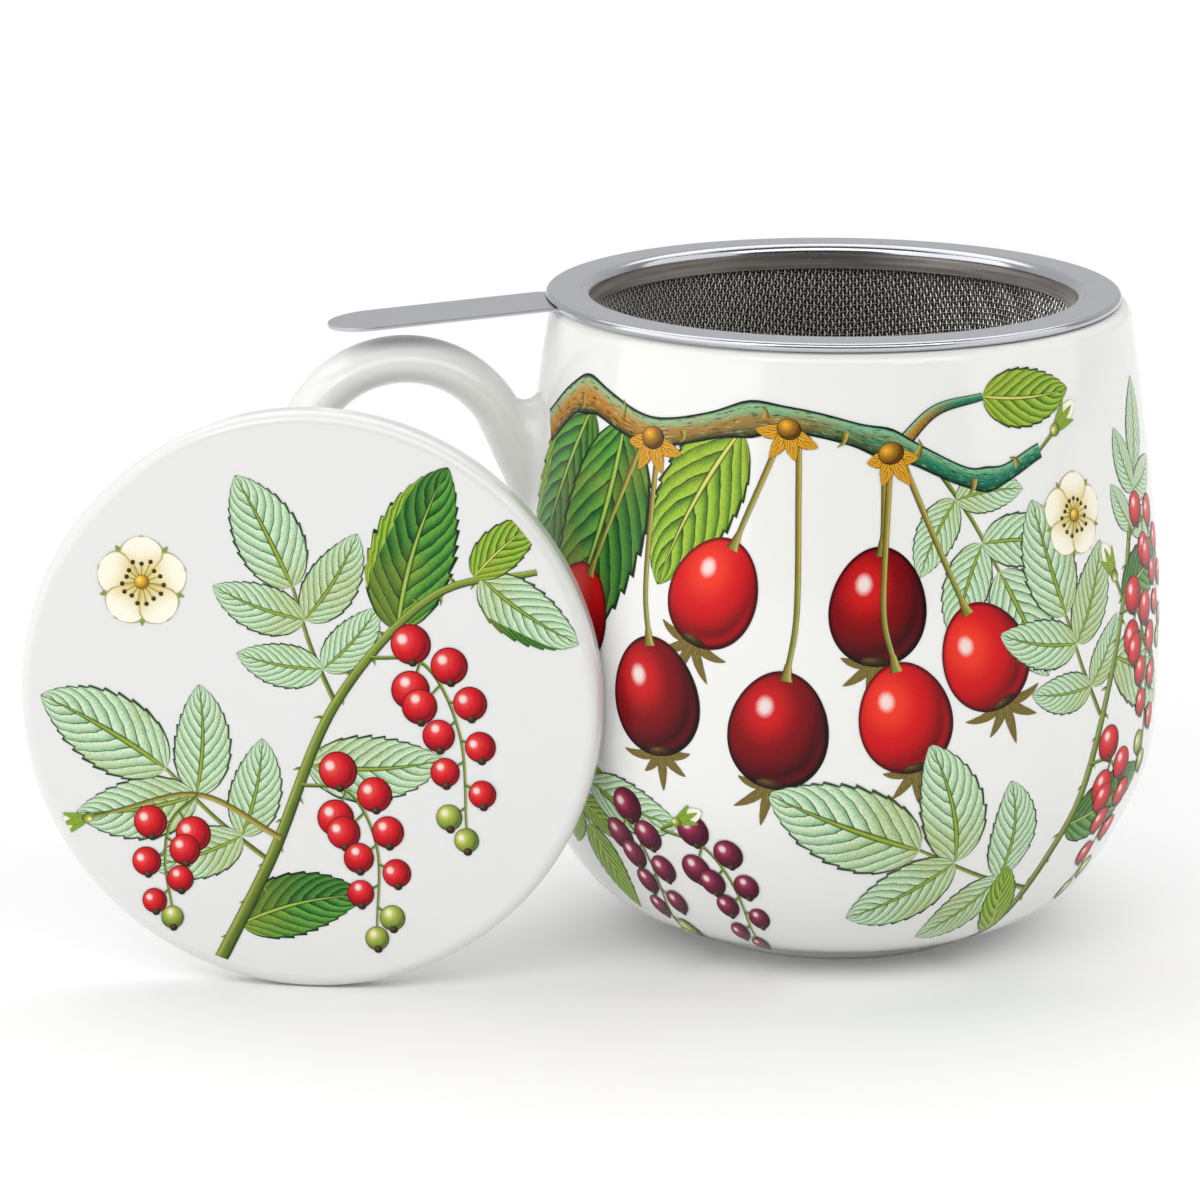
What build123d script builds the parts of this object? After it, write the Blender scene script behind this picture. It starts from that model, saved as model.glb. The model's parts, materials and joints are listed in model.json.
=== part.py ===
"""Porcelain tea mug with a loose disc lid and a steel tea infuser that hangs in the mug's mouth.

Millimetres, +Z up. The mug's axis is Z, and the origin is the middle of its standing ring, on the table.
The handle and the infuser's tab point along -X. The lid stands on its edge beside the mug and leans on
the belly, just in front of the handle.
"""

from build123d import *
import math
import os

# ---- mug body: radii are to the outside, heights are from the table
rim_height = 95.1  # crest of the rounded lip
rim_radius = 42.7  # just under the lip
shoulder_radius = 45.4
shoulder_height = 75.0
belly_radius = 48.0  # widest girth
belly_height = 46.5
haunch_radius = 44.6  # where the belly turns under
haunch_height = 20.9
tuck_radius = 36.1  # where the underside begins
tuck_height = 7.6
foot_radius = 22.0
foot_height = 1.3
foot_width = 2.8
foot_chamfer = 0.4
mug_wall = 3.6
floor_thickness = 4.4

# ---- which way the mug's side faces at those places, in degrees above level
foot_faces = -75.0
tuck_faces = -50.0
haunch_faces = -24.0
shoulder_faces = 7.0
rim_faces = 10.0

# ---- handle: an oval tube bent in the XZ plane, which swells where it is luted on
grip_reach = 64.5  # from the mug's axis to the middle of the upper bend
handle_drop = 4.2  # from the rim down to the handle's top, so that the tab passes over it
upper_bend = 16.0  # radii of the tube's centre line
lower_bend = 38.0
upper_root_turn = 60.0  # degrees of the upper bend past its top, before the tube runs straight to the body
lower_root_turn = 80.0  # degrees of the lower bend, before the tube runs straight to the body
grip_width = 11.0
grip_thickness = 6.8
root_width = 13.0  # the oval that the tube swells to at the end of its overrun
root_thickness = 11.0
root_fillet = 2.2
root_overrun = 9.0  # how far the tube runs on past the body's outline, before it is cut to the body

# ---- lid: a disc with a locating ring under it
lid_radius = 42.2
lid_thickness = 5.5
lid_face_edge = 1.8  # roundings of the disc's upper and lower edge
lid_back_edge = 1.0
lid_ring_height = 3.6
lid_ring_width = 3.4
lid_ring_clearance = 0.7  # to the infuser's collar, all round
lid_ring_edge = 1.2
lid_hollow = 1.0  # how much thinner the disc is inside the ring

# ---- where the lid stands
lid_lean = 3.1  # degrees back from upright
lid_facing = 256.0  # degrees about Z that the lid's face looks to
lid_touch = 216.0  # degrees about Z of the place where it leans on the belly
lid_gap = 0.25

# ---- infuser rim: one pressed sheet, with a hemmed edge, a flat flange, a rolled shoulder and a collar
rim_sheet = 0.5
flange_radius = 42.25
hem_radius = 0.65
hem_return = 1.0
collar_radius = 35.6  # inside
collar_depth = 3.7  # from the top of the flange
shoulder_roll = 1.35
seat_clearance = 0.1  # between the hem and the lip
infuser_offset = 1.0  # how far off the mug's axis the loose infuser hangs, towards its tab

# ---- infuser basket: woven wire, drawn to a cup, held on the outside of the collar by a welded hoop
wire_cloth = 0.4
basket_depth = 72.0  # from the top of the flange
basket_taper = 2.6  # how much narrower the basket is where its corner starts
basket_corner = 9.0
basket_lap = 1.9  # how far the cloth runs up the collar
cloth_columns = 18  # openings round the basket's side: a coarse grid that stands for the fine weave
cloth_rows = 5
cloth_bar = 3.2  # cloth left between two openings
floor_rows = 3  # openings across the basket's flat bottom, each way
hoop_sheet = 0.45
hoop_height = 2.4
hoop_overhang = 0.5  # how far the hoop reaches below the collar

# ---- infuser tab: a flat strip welded under the flange
tab_sheet = 0.5
tab_width = 13.2
tab_reach = 74.4  # from the infuser's axis to the rounded tip
tab_root = 37.4  # from the infuser's axis to the welded end
tab_pad = 1.8  # length of the welded end
tab_step = 0.3  # how far the strip steps down to pass through the hem
tab_step_run = 1.0
tab_bend = 43.2  # from the infuser's axis to the bend outside the mug
tab_droop = 4.9  # degrees down to the tip
tab_notch_clearance = 0.4

# ---- sizes that follow from those above
lip_radius = mug_wall / 2
grip_height = rim_height - handle_drop - grip_thickness / 2 - upper_bend  # middle of both bends
flange_top = rim_height + seat_clearance + 2 * hem_radius
collar_outer = collar_radius + rim_sheet
cloth_outer = collar_outer + wire_cloth
basket_bottom = flange_top - basket_depth
collar_bottom = flange_top - collar_depth
lid_ring_radius = collar_radius - lid_ring_clearance


def heading(degrees):
    """Unit vector in the XZ plane, that many degrees above +X."""
    return Vector(math.cos(math.radians(degrees)), 0, math.sin(math.radians(degrees)))


def spot(radius, height):
    """The point of the XZ plane at that radius and height."""
    return Vector(radius, 0, height)


def outline(*points):
    """Straight edges from point to point."""
    return Polyline(*points).edges()


def turned(*edges):
    """The solid that a closed outline in the XZ plane sweeps about the Z axis."""
    return revolve(make_face(Wire(list(edges))), Axis.Z)


def side_curves(start, rise, inset):
    """The mug's side up to the lip, moved in by inset: two curves that meet at the belly.

    The lower one leaves the start point at that many degrees above level.
    """
    tuck = spot(tuck_radius, tuck_height) - heading(tuck_faces) * inset
    haunch = spot(haunch_radius, haunch_height) - heading(haunch_faces) * inset
    belly = spot(belly_radius - inset, belly_height)
    shoulder = spot(shoulder_radius, shoulder_height) - heading(shoulder_faces) * inset
    lip_start = spot(rim_radius - inset, rim_height - lip_radius)
    lower = Spline(start, tuck, haunch, belly, tangents=[heading(rise), heading(90)])
    upper = Spline(belly, shoulder, lip_start, tangents=[heading(90), heading(rim_faces + 90)])
    return lower, upper


def build_mug_body():
    """The cup: rounded lip, full belly, thick floor and a narrow standing ring."""
    foot_top = spot(foot_radius, foot_height)
    floor_edge = spot(foot_radius, foot_height + floor_thickness)
    foot_inside = foot_radius - foot_width
    underside = outline(
        spot(0, foot_height),
        spot(foot_inside, foot_height),
        spot(foot_inside, foot_chamfer),
        spot(foot_inside + foot_chamfer, 0),
        spot(foot_radius - foot_chamfer, 0),
        spot(foot_radius, foot_chamfer),
        foot_top,
    )
    outer_lower, outer_upper = side_curves(foot_top, foot_faces + 90, 0)
    inner_lower, inner_upper = side_curves(floor_edge, 0, mug_wall)
    crest = spot(rim_radius - lip_radius, rim_height)
    lip = ThreePointArc(outer_upper @ 1, crest, inner_upper @ 1)
    inside = outline(floor_edge, spot(0, floor_edge.Z), spot(0, foot_height))
    return turned(*underside, outer_lower, outer_upper, lip, inner_upper, inner_lower, *inside)


def mug_block():
    """The space inside the body's outer surface, with no cavity, which the handle's ends are cut to."""
    foot_top = spot(foot_radius, foot_height)
    lower, upper = side_curves(foot_top, foot_faces + 90, 0)
    top = upper @ 1
    return turned(lower, upper, *outline(top, spot(0, top.Z), spot(0, foot_height), foot_top))


def oval(middle, run, width, thickness):
    """An upright oval across the XZ plane's direction run."""
    return Plane(middle, x_dir=(0, 1, 0), z_dir=run) * Ellipse(width / 2, thickness / 2)


def handle_root(end, run, body_radius):
    """An end of the handle: straight on from the bend, and swelling until it is well inside the body."""
    length = (end.X - body_radius) / -run.X + root_overrun
    grip = oval(end, run, grip_width, grip_thickness)
    root = oval(end + run * length, run, root_width, root_thickness)
    return loft([grip.face(), root.face()])


def build_handle():
    """The handle: an oval tube along two tangent bends, with swelling roots filleted where they meet the body."""
    upper_middle = spot(grip_reach, grip_height)
    lower_middle = spot(grip_reach + upper_bend - lower_bend, grip_height)
    upper_end = upper_middle + heading(90 + upper_root_turn) * upper_bend
    upper_run = heading(180 + upper_root_turn)
    lower_end = lower_middle + heading(-lower_root_turn) * lower_bend
    lower_run = heading(-lower_root_turn - 90)
    top = upper_middle + heading(45) * upper_bend
    middle = spot(grip_reach + upper_bend, grip_height)
    side = lower_middle + heading(-lower_root_turn / 2) * lower_bend
    path = Wire([ThreePointArc(upper_end, top, middle), ThreePointArc(middle, side, lower_end)])
    tube = sweep(oval(upper_end, -upper_run, grip_width, grip_thickness), path=path)
    tube += handle_root(upper_end, upper_run, shoulder_radius)
    tube += handle_root(lower_end, lower_run, belly_radius)
    block = Rot(0, 0, 180) * mug_block()
    joined = tube + block
    roots = joined.edges().filter_by(GeomType.BSPLINE).filter_by(lambda edge: edge.is_closed)
    outside_body = fillet(roots, root_fillet) - block
    return Rot(0, 0, 180) * outside_body.solids().sort_by(SortBy.VOLUME)[-1]


def lid_centre():
    """Middle of the lid's face: its back edge stands on the table and touches the belly from outside."""
    facing = math.radians(lid_facing)
    touch = math.radians(lid_touch)
    lean = math.radians(lid_lean)
    edge_radius = lid_radius - lid_back_edge
    edge_depth = lid_thickness - lid_back_edge
    height = edge_radius * math.cos(lean) + edge_depth * math.sin(lean) + lid_back_edge
    level_reach = math.sqrt(edge_radius**2 - (belly_height - height) ** 2)
    touch_radius = belly_radius + lid_gap + lid_back_edge
    forward = Vector(math.cos(facing), math.sin(facing), 0)
    sideways = Vector(-math.sin(facing), math.cos(facing), 0)
    touching = Vector(math.cos(touch), math.sin(touch), 0) * touch_radius
    return touching - sideways * level_reach + forward * edge_depth + Vector(0, 0, height)


def build_lid():
    """The lid: a disc with rounded edges, and under it a ring that drops into the infuser's collar."""
    downwards = (Align.CENTER, Align.CENTER, Align.MAX)
    disc = Cylinder(lid_radius, lid_thickness, align=downwards)
    disc = fillet(disc.edges().sort_by(Axis.Z)[-1], lid_face_edge)
    disc = fillet(disc.edges().sort_by(Axis.Z)[0], lid_back_edge)
    ring = Pos(0, 0, -lid_thickness) * Cylinder(lid_ring_radius, lid_ring_height, align=downwards)
    recess = Cylinder(lid_ring_radius - lid_ring_width, lid_hollow + lid_ring_height, align=downwards)
    recess = fillet(recess.edges().sort_by(Axis.Z)[-1], lid_ring_edge)
    lid = disc + ring - Pos(0, 0, lid_hollow - lid_thickness) * recess
    return fillet(lid.faces().sort_by(Axis.Z)[0].edges(), lid_ring_edge)


def stood_by_the_mug(shape):
    """Moves the lid from its own frame, face up at the origin, to where it leans beside the mug."""
    facing = math.radians(lid_facing)
    lean = math.radians(lid_lean)
    outwards = (math.cos(facing) * math.cos(lean), math.sin(facing) * math.cos(lean), math.sin(lean))
    level = (-math.sin(facing), math.cos(facing), 0)
    return Plane(lid_centre(), x_dir=level, z_dir=outwards).location * shape


def build_infuser_rim():
    """The pressed rim: a collar, a rolled shoulder, a flat flange and a hem turned under at the edge."""
    under = flange_top - rim_sheet
    fold = spot(flange_radius - hem_radius, flange_top - hem_radius)
    fold_inside = hem_radius - rim_sheet
    hem_end = fold.X - hem_return
    hem_bottom = flange_top - 2 * hem_radius
    hem_top = hem_bottom + rim_sheet
    roll = spot(collar_radius + shoulder_roll, flange_top - shoulder_roll)
    roll_top = spot(roll.X, flange_top)
    roll_inside = shoulder_roll - rim_sheet
    hem = outline(
        spot(fold.X, hem_bottom),
        spot(hem_end, hem_bottom),
        spot(hem_end, hem_top),
        spot(fold.X, hem_top),
    )
    collar = outline(
        spot(collar_outer, roll.Z),
        spot(collar_outer, collar_bottom),
        spot(collar_radius, collar_bottom),
        spot(collar_radius, roll.Z),
    )
    rim = turned(
        Line(roll_top, spot(fold.X, flange_top)),
        ThreePointArc(spot(fold.X, flange_top), spot(flange_radius, fold.Z), spot(fold.X, hem_bottom)),
        *hem,
        ThreePointArc(spot(fold.X, hem_top), fold + heading(0) * fold_inside, spot(fold.X, under)),
        Line(spot(fold.X, under), spot(roll.X, under)),
        ThreePointArc(spot(roll.X, under), roll + heading(135) * roll_inside, spot(collar_outer, roll.Z)),
        *collar,
        ThreePointArc(spot(collar_radius, roll.Z), roll + heading(135) * shoulder_roll, roll_top),
    )
    notch_length = hem_return + 2 * hem_radius
    notch = Box(
        2 * notch_length,
        tab_width + 2 * tab_notch_clearance,
        2 * hem_radius,
        align=(Align.CENTER, Align.CENTER, Align.MAX),
    )
    return rim - Pos(-fold.X, 0, under) * notch


def basket_corner_arc(middle, radius, slope):
    """Arc from the basket's flat bottom round to its side, which leans out by that many degrees."""
    halfway = (-90 - slope) / 2
    return ThreePointArc(*[middle + heading(turn) * radius for turn in (-90, halfway, -slope)])


def cloth_openings(low, high):
    """Blocks that cut the grid of openings: out through the side between two heights, and down through the bottom."""
    radius = collar_outer - basket_taper / 2
    opening = math.tau * radius / cloth_columns - cloth_bar
    row = (high - low) / cloth_rows
    reach = 2 * radius  # the wedge is twice as wide there as the opening
    wedge = make_face(Polyline((0, 0), (reach, opening), (reach, -opening), (0, 0)))
    outwards = extrude(wedge, row - cloth_bar)
    side = [
        Pos(0, 0, low + row * level + cloth_bar / 2) * Rot(0, 0, 360 * column / cloth_columns) * outwards
        for level in range(cloth_rows)
        for column in range(cloth_columns)
    ]
    downwards = Pos(0, 0, basket_bottom) * Box(opening, opening, 4 * wire_cloth)
    pitch = opening + cloth_bar
    return side + [place * downwards for place in GridLocations(pitch, pitch, floor_rows, floor_rows)]


def build_infuser_mesh():
    """The basket: a drawn cup of wire cloth, straight at the collar, then tapering to a rounded bottom."""
    top = collar_bottom + basket_lap
    taper_start = collar_bottom - hoop_overhang
    floor = basket_bottom + wire_cloth
    middle = spot(collar_outer - basket_taper - basket_corner, floor + basket_corner)
    slope = math.degrees(math.atan2(basket_taper, taper_start - middle.Z))
    outer = basket_corner_arc(middle, basket_corner + wire_cloth, slope)
    inner = basket_corner_arc(middle, basket_corner, slope)
    outer_side = outline(outer @ 1, spot(cloth_outer, taper_start), spot(cloth_outer, top))
    inner_side = outline(spot(collar_outer, top), spot(collar_outer, taper_start), inner @ 1)
    cut_end = Line(spot(cloth_outer, top), spot(collar_outer, top))
    bottom = outline(inner @ 0, spot(0, floor), spot(0, basket_bottom), outer @ 0)
    cup = turned(outer, *outer_side, cut_end, *inner_side, inner, *bottom)
    return cup - cloth_openings(middle.Z, taper_start)


def build_mesh_hoop():
    """The flat hoop that holds the cloth to the collar."""
    upwards = (Align.CENTER, Align.CENTER, Align.MIN)
    hoop = Cylinder(cloth_outer + hoop_sheet, hoop_height, align=upwards)
    hoop -= Cylinder(cloth_outer, hoop_height, align=upwards)
    return Pos(0, 0, collar_bottom - hoop_overhang) * hoop


def build_infuser_tab():
    """The strip that the infuser is lifted by: welded end, step down through the hem, bend, round tip."""
    pad_top = flange_top - rim_sheet
    step_top = pad_top - tab_step
    tip_drop = (tab_reach - tab_bend) * math.tan(math.radians(tab_droop))
    upper_side = [
        spot(tab_root, pad_top),
        spot(tab_root + tab_pad, pad_top),
        spot(tab_root + tab_pad + tab_step_run, step_top),
        spot(tab_bend, step_top),
        spot(tab_reach, step_top - tip_drop),
    ]
    lower_side = [corner - Vector(0, 0, tab_sheet) for corner in reversed(upper_side)]
    side = make_face(Wire(outline(*upper_side, *lower_side, upper_side[0])))
    strip = extrude(side, tab_width / 2, both=True)
    tip_middle = tab_reach - tab_width / 2
    straight = Pos((tab_root + tip_middle) / 2, 0) * Rectangle(tip_middle - tab_root, tab_width)
    plan = straight + Pos(tip_middle, 0) * Circle(tab_width / 2)
    return Rot(0, 0, 180) * (strip & extrude(plan, flange_top))


def hung_in_the_mug(shape):
    """Moves a piece of the infuser from its own axis to where the infuser hangs."""
    return Pos(-infuser_offset, 0, 0) * shape


if __name__ == "__main__":
    os.makedirs("parts", exist_ok=True)
    export_step(build_mug_body(), "parts/mug_body.step")
    export_step(build_handle(), "parts/mug_handle.step")
    export_step(stood_by_the_mug(build_lid()), "parts/lid.step")
    export_step(hung_in_the_mug(build_infuser_rim()), "parts/infuser_rim.step")
    export_step(hung_in_the_mug(build_infuser_mesh()), "parts/infuser_mesh.step")
    export_step(hung_in_the_mug(build_mesh_hoop()), "parts/mesh_hoop.step")
    export_step(hung_in_the_mug(build_infuser_tab()), "parts/infuser_tab.step")
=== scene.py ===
"""Porcelain tea mug with a loose lid and a steel infuser: its finishes, woven basket and painted sprigs.

Metres in Blender; the classes below hold their sizes in millimetres and turn them into metres as they build.
The mug's axis is Z, the handle and the infuser's tab point along -X, and the table is at Z = 0.
"""

import json
import logging
import math
import random
from collections.abc import Callable, Sequence
from dataclasses import dataclass, field
from enum import Enum

import bpy
import numpy as np
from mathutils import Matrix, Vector
from mathutils.bvhtree import BVHTree

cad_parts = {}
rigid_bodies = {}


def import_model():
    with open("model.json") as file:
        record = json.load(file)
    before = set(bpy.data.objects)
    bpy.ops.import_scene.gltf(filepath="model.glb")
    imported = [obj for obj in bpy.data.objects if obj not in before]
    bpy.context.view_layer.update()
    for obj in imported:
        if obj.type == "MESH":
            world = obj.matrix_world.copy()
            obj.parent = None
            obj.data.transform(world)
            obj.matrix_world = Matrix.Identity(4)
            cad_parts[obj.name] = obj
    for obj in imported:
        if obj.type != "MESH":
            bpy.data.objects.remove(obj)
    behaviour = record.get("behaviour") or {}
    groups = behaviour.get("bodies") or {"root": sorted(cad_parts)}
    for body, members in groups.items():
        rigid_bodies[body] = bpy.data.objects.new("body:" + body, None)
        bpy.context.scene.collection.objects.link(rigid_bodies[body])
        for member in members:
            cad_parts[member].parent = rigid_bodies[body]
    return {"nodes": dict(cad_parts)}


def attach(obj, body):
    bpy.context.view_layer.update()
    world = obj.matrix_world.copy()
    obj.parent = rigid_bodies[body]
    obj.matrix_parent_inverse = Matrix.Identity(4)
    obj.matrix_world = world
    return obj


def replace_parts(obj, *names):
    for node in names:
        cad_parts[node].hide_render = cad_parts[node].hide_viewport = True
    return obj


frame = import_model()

MM = 0.001
INFUSER_X = -1.0  # X of the infuser's axis, mm
SMOOTH_ANGLE = math.radians(35)
PAINT_MAP = "Paint"
BAKE_MAP = "OFBake"
WEAVE = "weave"  # attribute of a wire: how it swings, whether it runs down, and the cloth's angle
log = logging.getLogger("tea_mug")

Colour = tuple[float, float, float]
Place = Sequence[float]
Outline = Callable[[np.ndarray, np.ndarray], np.ndarray]
Piece = bpy.types.Object
Socket = bpy.types.NodeSocket


# ---------------------------------------------------------------- shaders


def maths(operation: str, swapped: bool = False) -> Callable[..., "Term"]:
    """Makes a method of Term.

    Args:
        operation: The Math node's operation.
        swapped: Whether the term comes after the other number.

    Returns:
        The method, which adds one such node and gives its result.
    """

    def method(term: "Term", *others: "Term | float") -> "Term":
        """Adds the node.

        Args:
            term: The term itself.
            others: Terms or plain numbers for the other inputs.

        Returns:
            The node's result.
        """
        tree = term.socket.id_data
        node = tree.nodes.new("ShaderNodeMath")
        node.operation = operation
        for slot, value in zip(node.inputs, (*others, term) if swapped else (term, *others)):
            if isinstance(value, Term):
                tree.links.new(value.socket, slot)
            else:
                slot.default_value = value
        return Term(node.outputs[0])

    return method


class Term:
    """A number in a shader. Sums and products of terms add the Math nodes that work them out."""

    def __init__(self, socket: Socket) -> None:
        """Wraps the output socket that carries the number."""
        self.socket = socket

    __add__ = __radd__ = maths("ADD")
    __sub__ = maths("SUBTRACT")
    __rsub__ = maths("SUBTRACT", swapped=True)
    __mul__ = __rmul__ = maths("MULTIPLY")
    __truediv__ = maths("DIVIDE")
    __pow__ = maths("POWER")
    size = maths("ABSOLUTE")  # the number without its sign
    part = maths("FRACT")  # what is left above the next lower whole number
    sine = maths("SINE")
    at_least = maths("MAXIMUM")
    bearing = maths("ARCTAN2")  # angle of the point (other, term), in radians

    def rise(self, low: float, high: float) -> "Term":
        """Goes smoothly from 0 at low to 1 at high; with high below low it falls instead.

        Args:
            low: Where the result is 0.
            high: Where the result is 1.

        Returns:
            The smooth step.
        """
        tree = self.socket.id_data
        node = tree.nodes.new("ShaderNodeMapRange")
        node.interpolation_type = "SMOOTHSTEP"
        ends = (low, high, 0.0, 1.0) if low < high else (high, low, 1.0, 0.0)
        for slot, value in zip(node.inputs[1:5], ends):
            slot.default_value = value
        tree.links.new(self.socket, node.inputs[0])
        return Term(node.outputs[0])


class Shader:
    """A material while it is put together round its Principled BSDF."""

    def __init__(self, name: str) -> None:
        """Starts the material.

        Args:
            name: Its name.
        """
        self.material = bpy.data.materials.new(name)
        self.material.use_nodes = True
        self.tree = self.material.node_tree
        self.surface = self.tree.nodes["Principled BSDF"]

    def add(self, kind: str, settings: dict[str, object] | None = None, **inputs: object) -> bpy.types.Node:
        """Adds any node.

        Args:
            kind: The node's type without its ShaderNode prefix.
            settings: Attributes of the node, set before its inputs.
            inputs: Values, sockets or terms for its inputs, by name with _ for a space.

        Returns:
            The node.
        """
        node = self.tree.nodes.new("ShaderNode" + kind)
        for name, value in (settings or {}).items():
            setattr(node, name, value)
        for name, value in inputs.items():
            self.feed(node.inputs[name.replace("_", " ")], value)
        return node

    def feed(self, slot: Socket, value: object) -> None:
        """Gives an input a link or a value.

        Args:
            slot: The input.
            value: A term, a socket or a plain value.
        """
        if isinstance(value, Term):
            value = value.socket
        if isinstance(value, Socket):
            self.tree.links.new(value, slot)
        else:
            slot.default_value = value

    def fix(self, **inputs: object) -> None:
        """Sets inputs of the Principled BSDF, by name with _ for a space."""
        for name, value in inputs.items():
            self.feed(self.surface.inputs[name.replace("_", " ")], value)

    def place(self) -> Socket:
        """Object coordinates, in metres in the part's frame."""
        return self.add("TexCoord").outputs["Object"]

    def paint_map(self) -> Socket:
        """The piece's own paint map, 0 to 1 each way."""
        return self.add("UVMap", {"uv_map": PAINT_MAP}).outputs[0]

    def parts(self, vector: Socket | None = None) -> tuple[Term, ...]:
        """The three numbers of a vector, of the object's coordinates where none is given."""
        split = self.add("SeparateXYZ", Vector=vector or self.place())
        return tuple(Term(socket) for socket in split.outputs)

    def noise(
        self, scale: float, detail: float = 2.0, stretch: Place = (1, 1, 1), where: Socket | None = None
    ) -> Term:
        """Noise of 0 to 1 around 0.5.

        Args:
            scale: Features per metre, or per unit of the map given.
            detail: Octaves.
            stretch: Factor on each coordinate.
            where: Another vector socket than the object's coordinates.

        Returns:
            The noise.
        """
        moved = self.add("Mapping", None, Vector=where or self.place(), Scale=stretch)
        noise = self.add("TexNoise", None, Vector=moved.outputs[0], Scale=scale, Detail=detail)
        return Term(noise.outputs[0])

    def blend(self, share: Term, first: object, second: object) -> Socket:
        """Mixes two colours.

        Args:
            share: How much of the second, 0 to 1.
            first: Colour or socket.
            second: Colour or socket.

        Returns:
            The mixed colour.
        """
        node = self.add("Mix", {"data_type": "RGBA"})
        self.feed(node.inputs[0], share)
        for slot, value in ((node.inputs[6], first), (node.inputs[7], second)):
            self.feed(slot, (*value, 1.0) if isinstance(value, tuple) else value)
        return node.outputs[2]

    def relief(self, height: Term, depth: float, strength: float) -> None:
        """Turns a height of 0 to 1 into bumps.

        Args:
            height: The height.
            depth: Metres that 1 stands for.
            strength: Share of the effect.
        """
        bump = self.add("Bump", None, Height=height, Distance=depth, Strength=strength)
        self.fix(Normal=bump.outputs[0])

    def fired(self, colour: Socket) -> bpy.types.Material:
        """Finishes a painted colour, a little duller than the glaze round it.

        Args:
            colour: The colour.

        Returns:
            The material.
        """
        roughness = self.noise(22, 3) * 0.04 + 0.22
        self.fix(Base_Color=colour, Roughness=roughness, IOR=1.52, Specular_IOR_Level=0.16)
        return self.material


def ink(red: int, green: int, blue: int) -> Colour:
    """A display colour of 0 to 255 as the linear colour that shows it."""
    values = [value / 255 for value in (red, green, blue)]
    return tuple(v / 12.92 if v <= 0.04045 else ((v + 0.055) / 1.055) ** 2.4 for v in values)


def dimmed(colour: Colour, share: float) -> Colour:
    """A colour with that share of its light."""
    return tuple(value * share for value in colour)


# ---------------------------------------------------------------- finishes


@dataclass(frozen=True)
class Glaze:
    """Clear glossy glaze over white porcelain, bare and dull where the piece stood in the kiln."""

    name: str = "clear_glaze"
    body: Colour = ink(238, 238, 235)
    bare: Colour = ink(226, 221, 212)
    gloss: float = 0.1
    foot_line: float = 0.45  # mm above the table up to which the standing ring is bare
    foot_blur: float = 0.15

    def material(self) -> bpy.types.Material:
        """Builds the finish: faint clouding of the white, soft waves in the glaze and a bare foot.

        Returns:
            The material.
        """
        shader = Shader(self.name)
        cloud = shader.noise(22, 3)
        tint = shader.blend(cloud, self.body, dimmed(self.body, 0.985))
        foot = shader.parts()[2].rise((self.foot_line + self.foot_blur) * MM, self.foot_line * MM)
        shader.fix(
            Base_Color=shader.blend(foot, tint, self.bare),
            Roughness=foot * 0.6 + cloud * 0.02 + (self.gloss - 0.01),
            IOR=1.52,
        )
        shader.relief(shader.noise(60, 2) + foot * shader.noise(2500, 3) * 0.6, 0.00002, 0.35)
        return shader.material


@dataclass(frozen=True)
class SatinSteel:
    """Pressed stainless steel with a satin face."""

    name: str = "satin_steel"
    metal: Colour = ink(197, 198, 203)
    satin: float = 0.34  # roughness of the flats

    def material(self) -> bpy.types.Material:
        """Builds the finish for the strip and the hoop: fine straight grain and faint scuffs.

        Returns:
            The material.
        """
        shader = Shader(self.name)
        grain = shader.noise(900, 3, (0.06, 1, 1))
        scuff = shader.noise(260, 4)
        shader.fix(
            Metallic=1.0,
            Base_Color=shader.blend(scuff, self.metal, dimmed(self.metal, 0.9)),
            Roughness=grain * 0.12 + scuff * 0.05 + (self.satin - 0.08),
        )
        shader.relief(grain, 0.000004, 0.5)
        return shader.material


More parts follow.
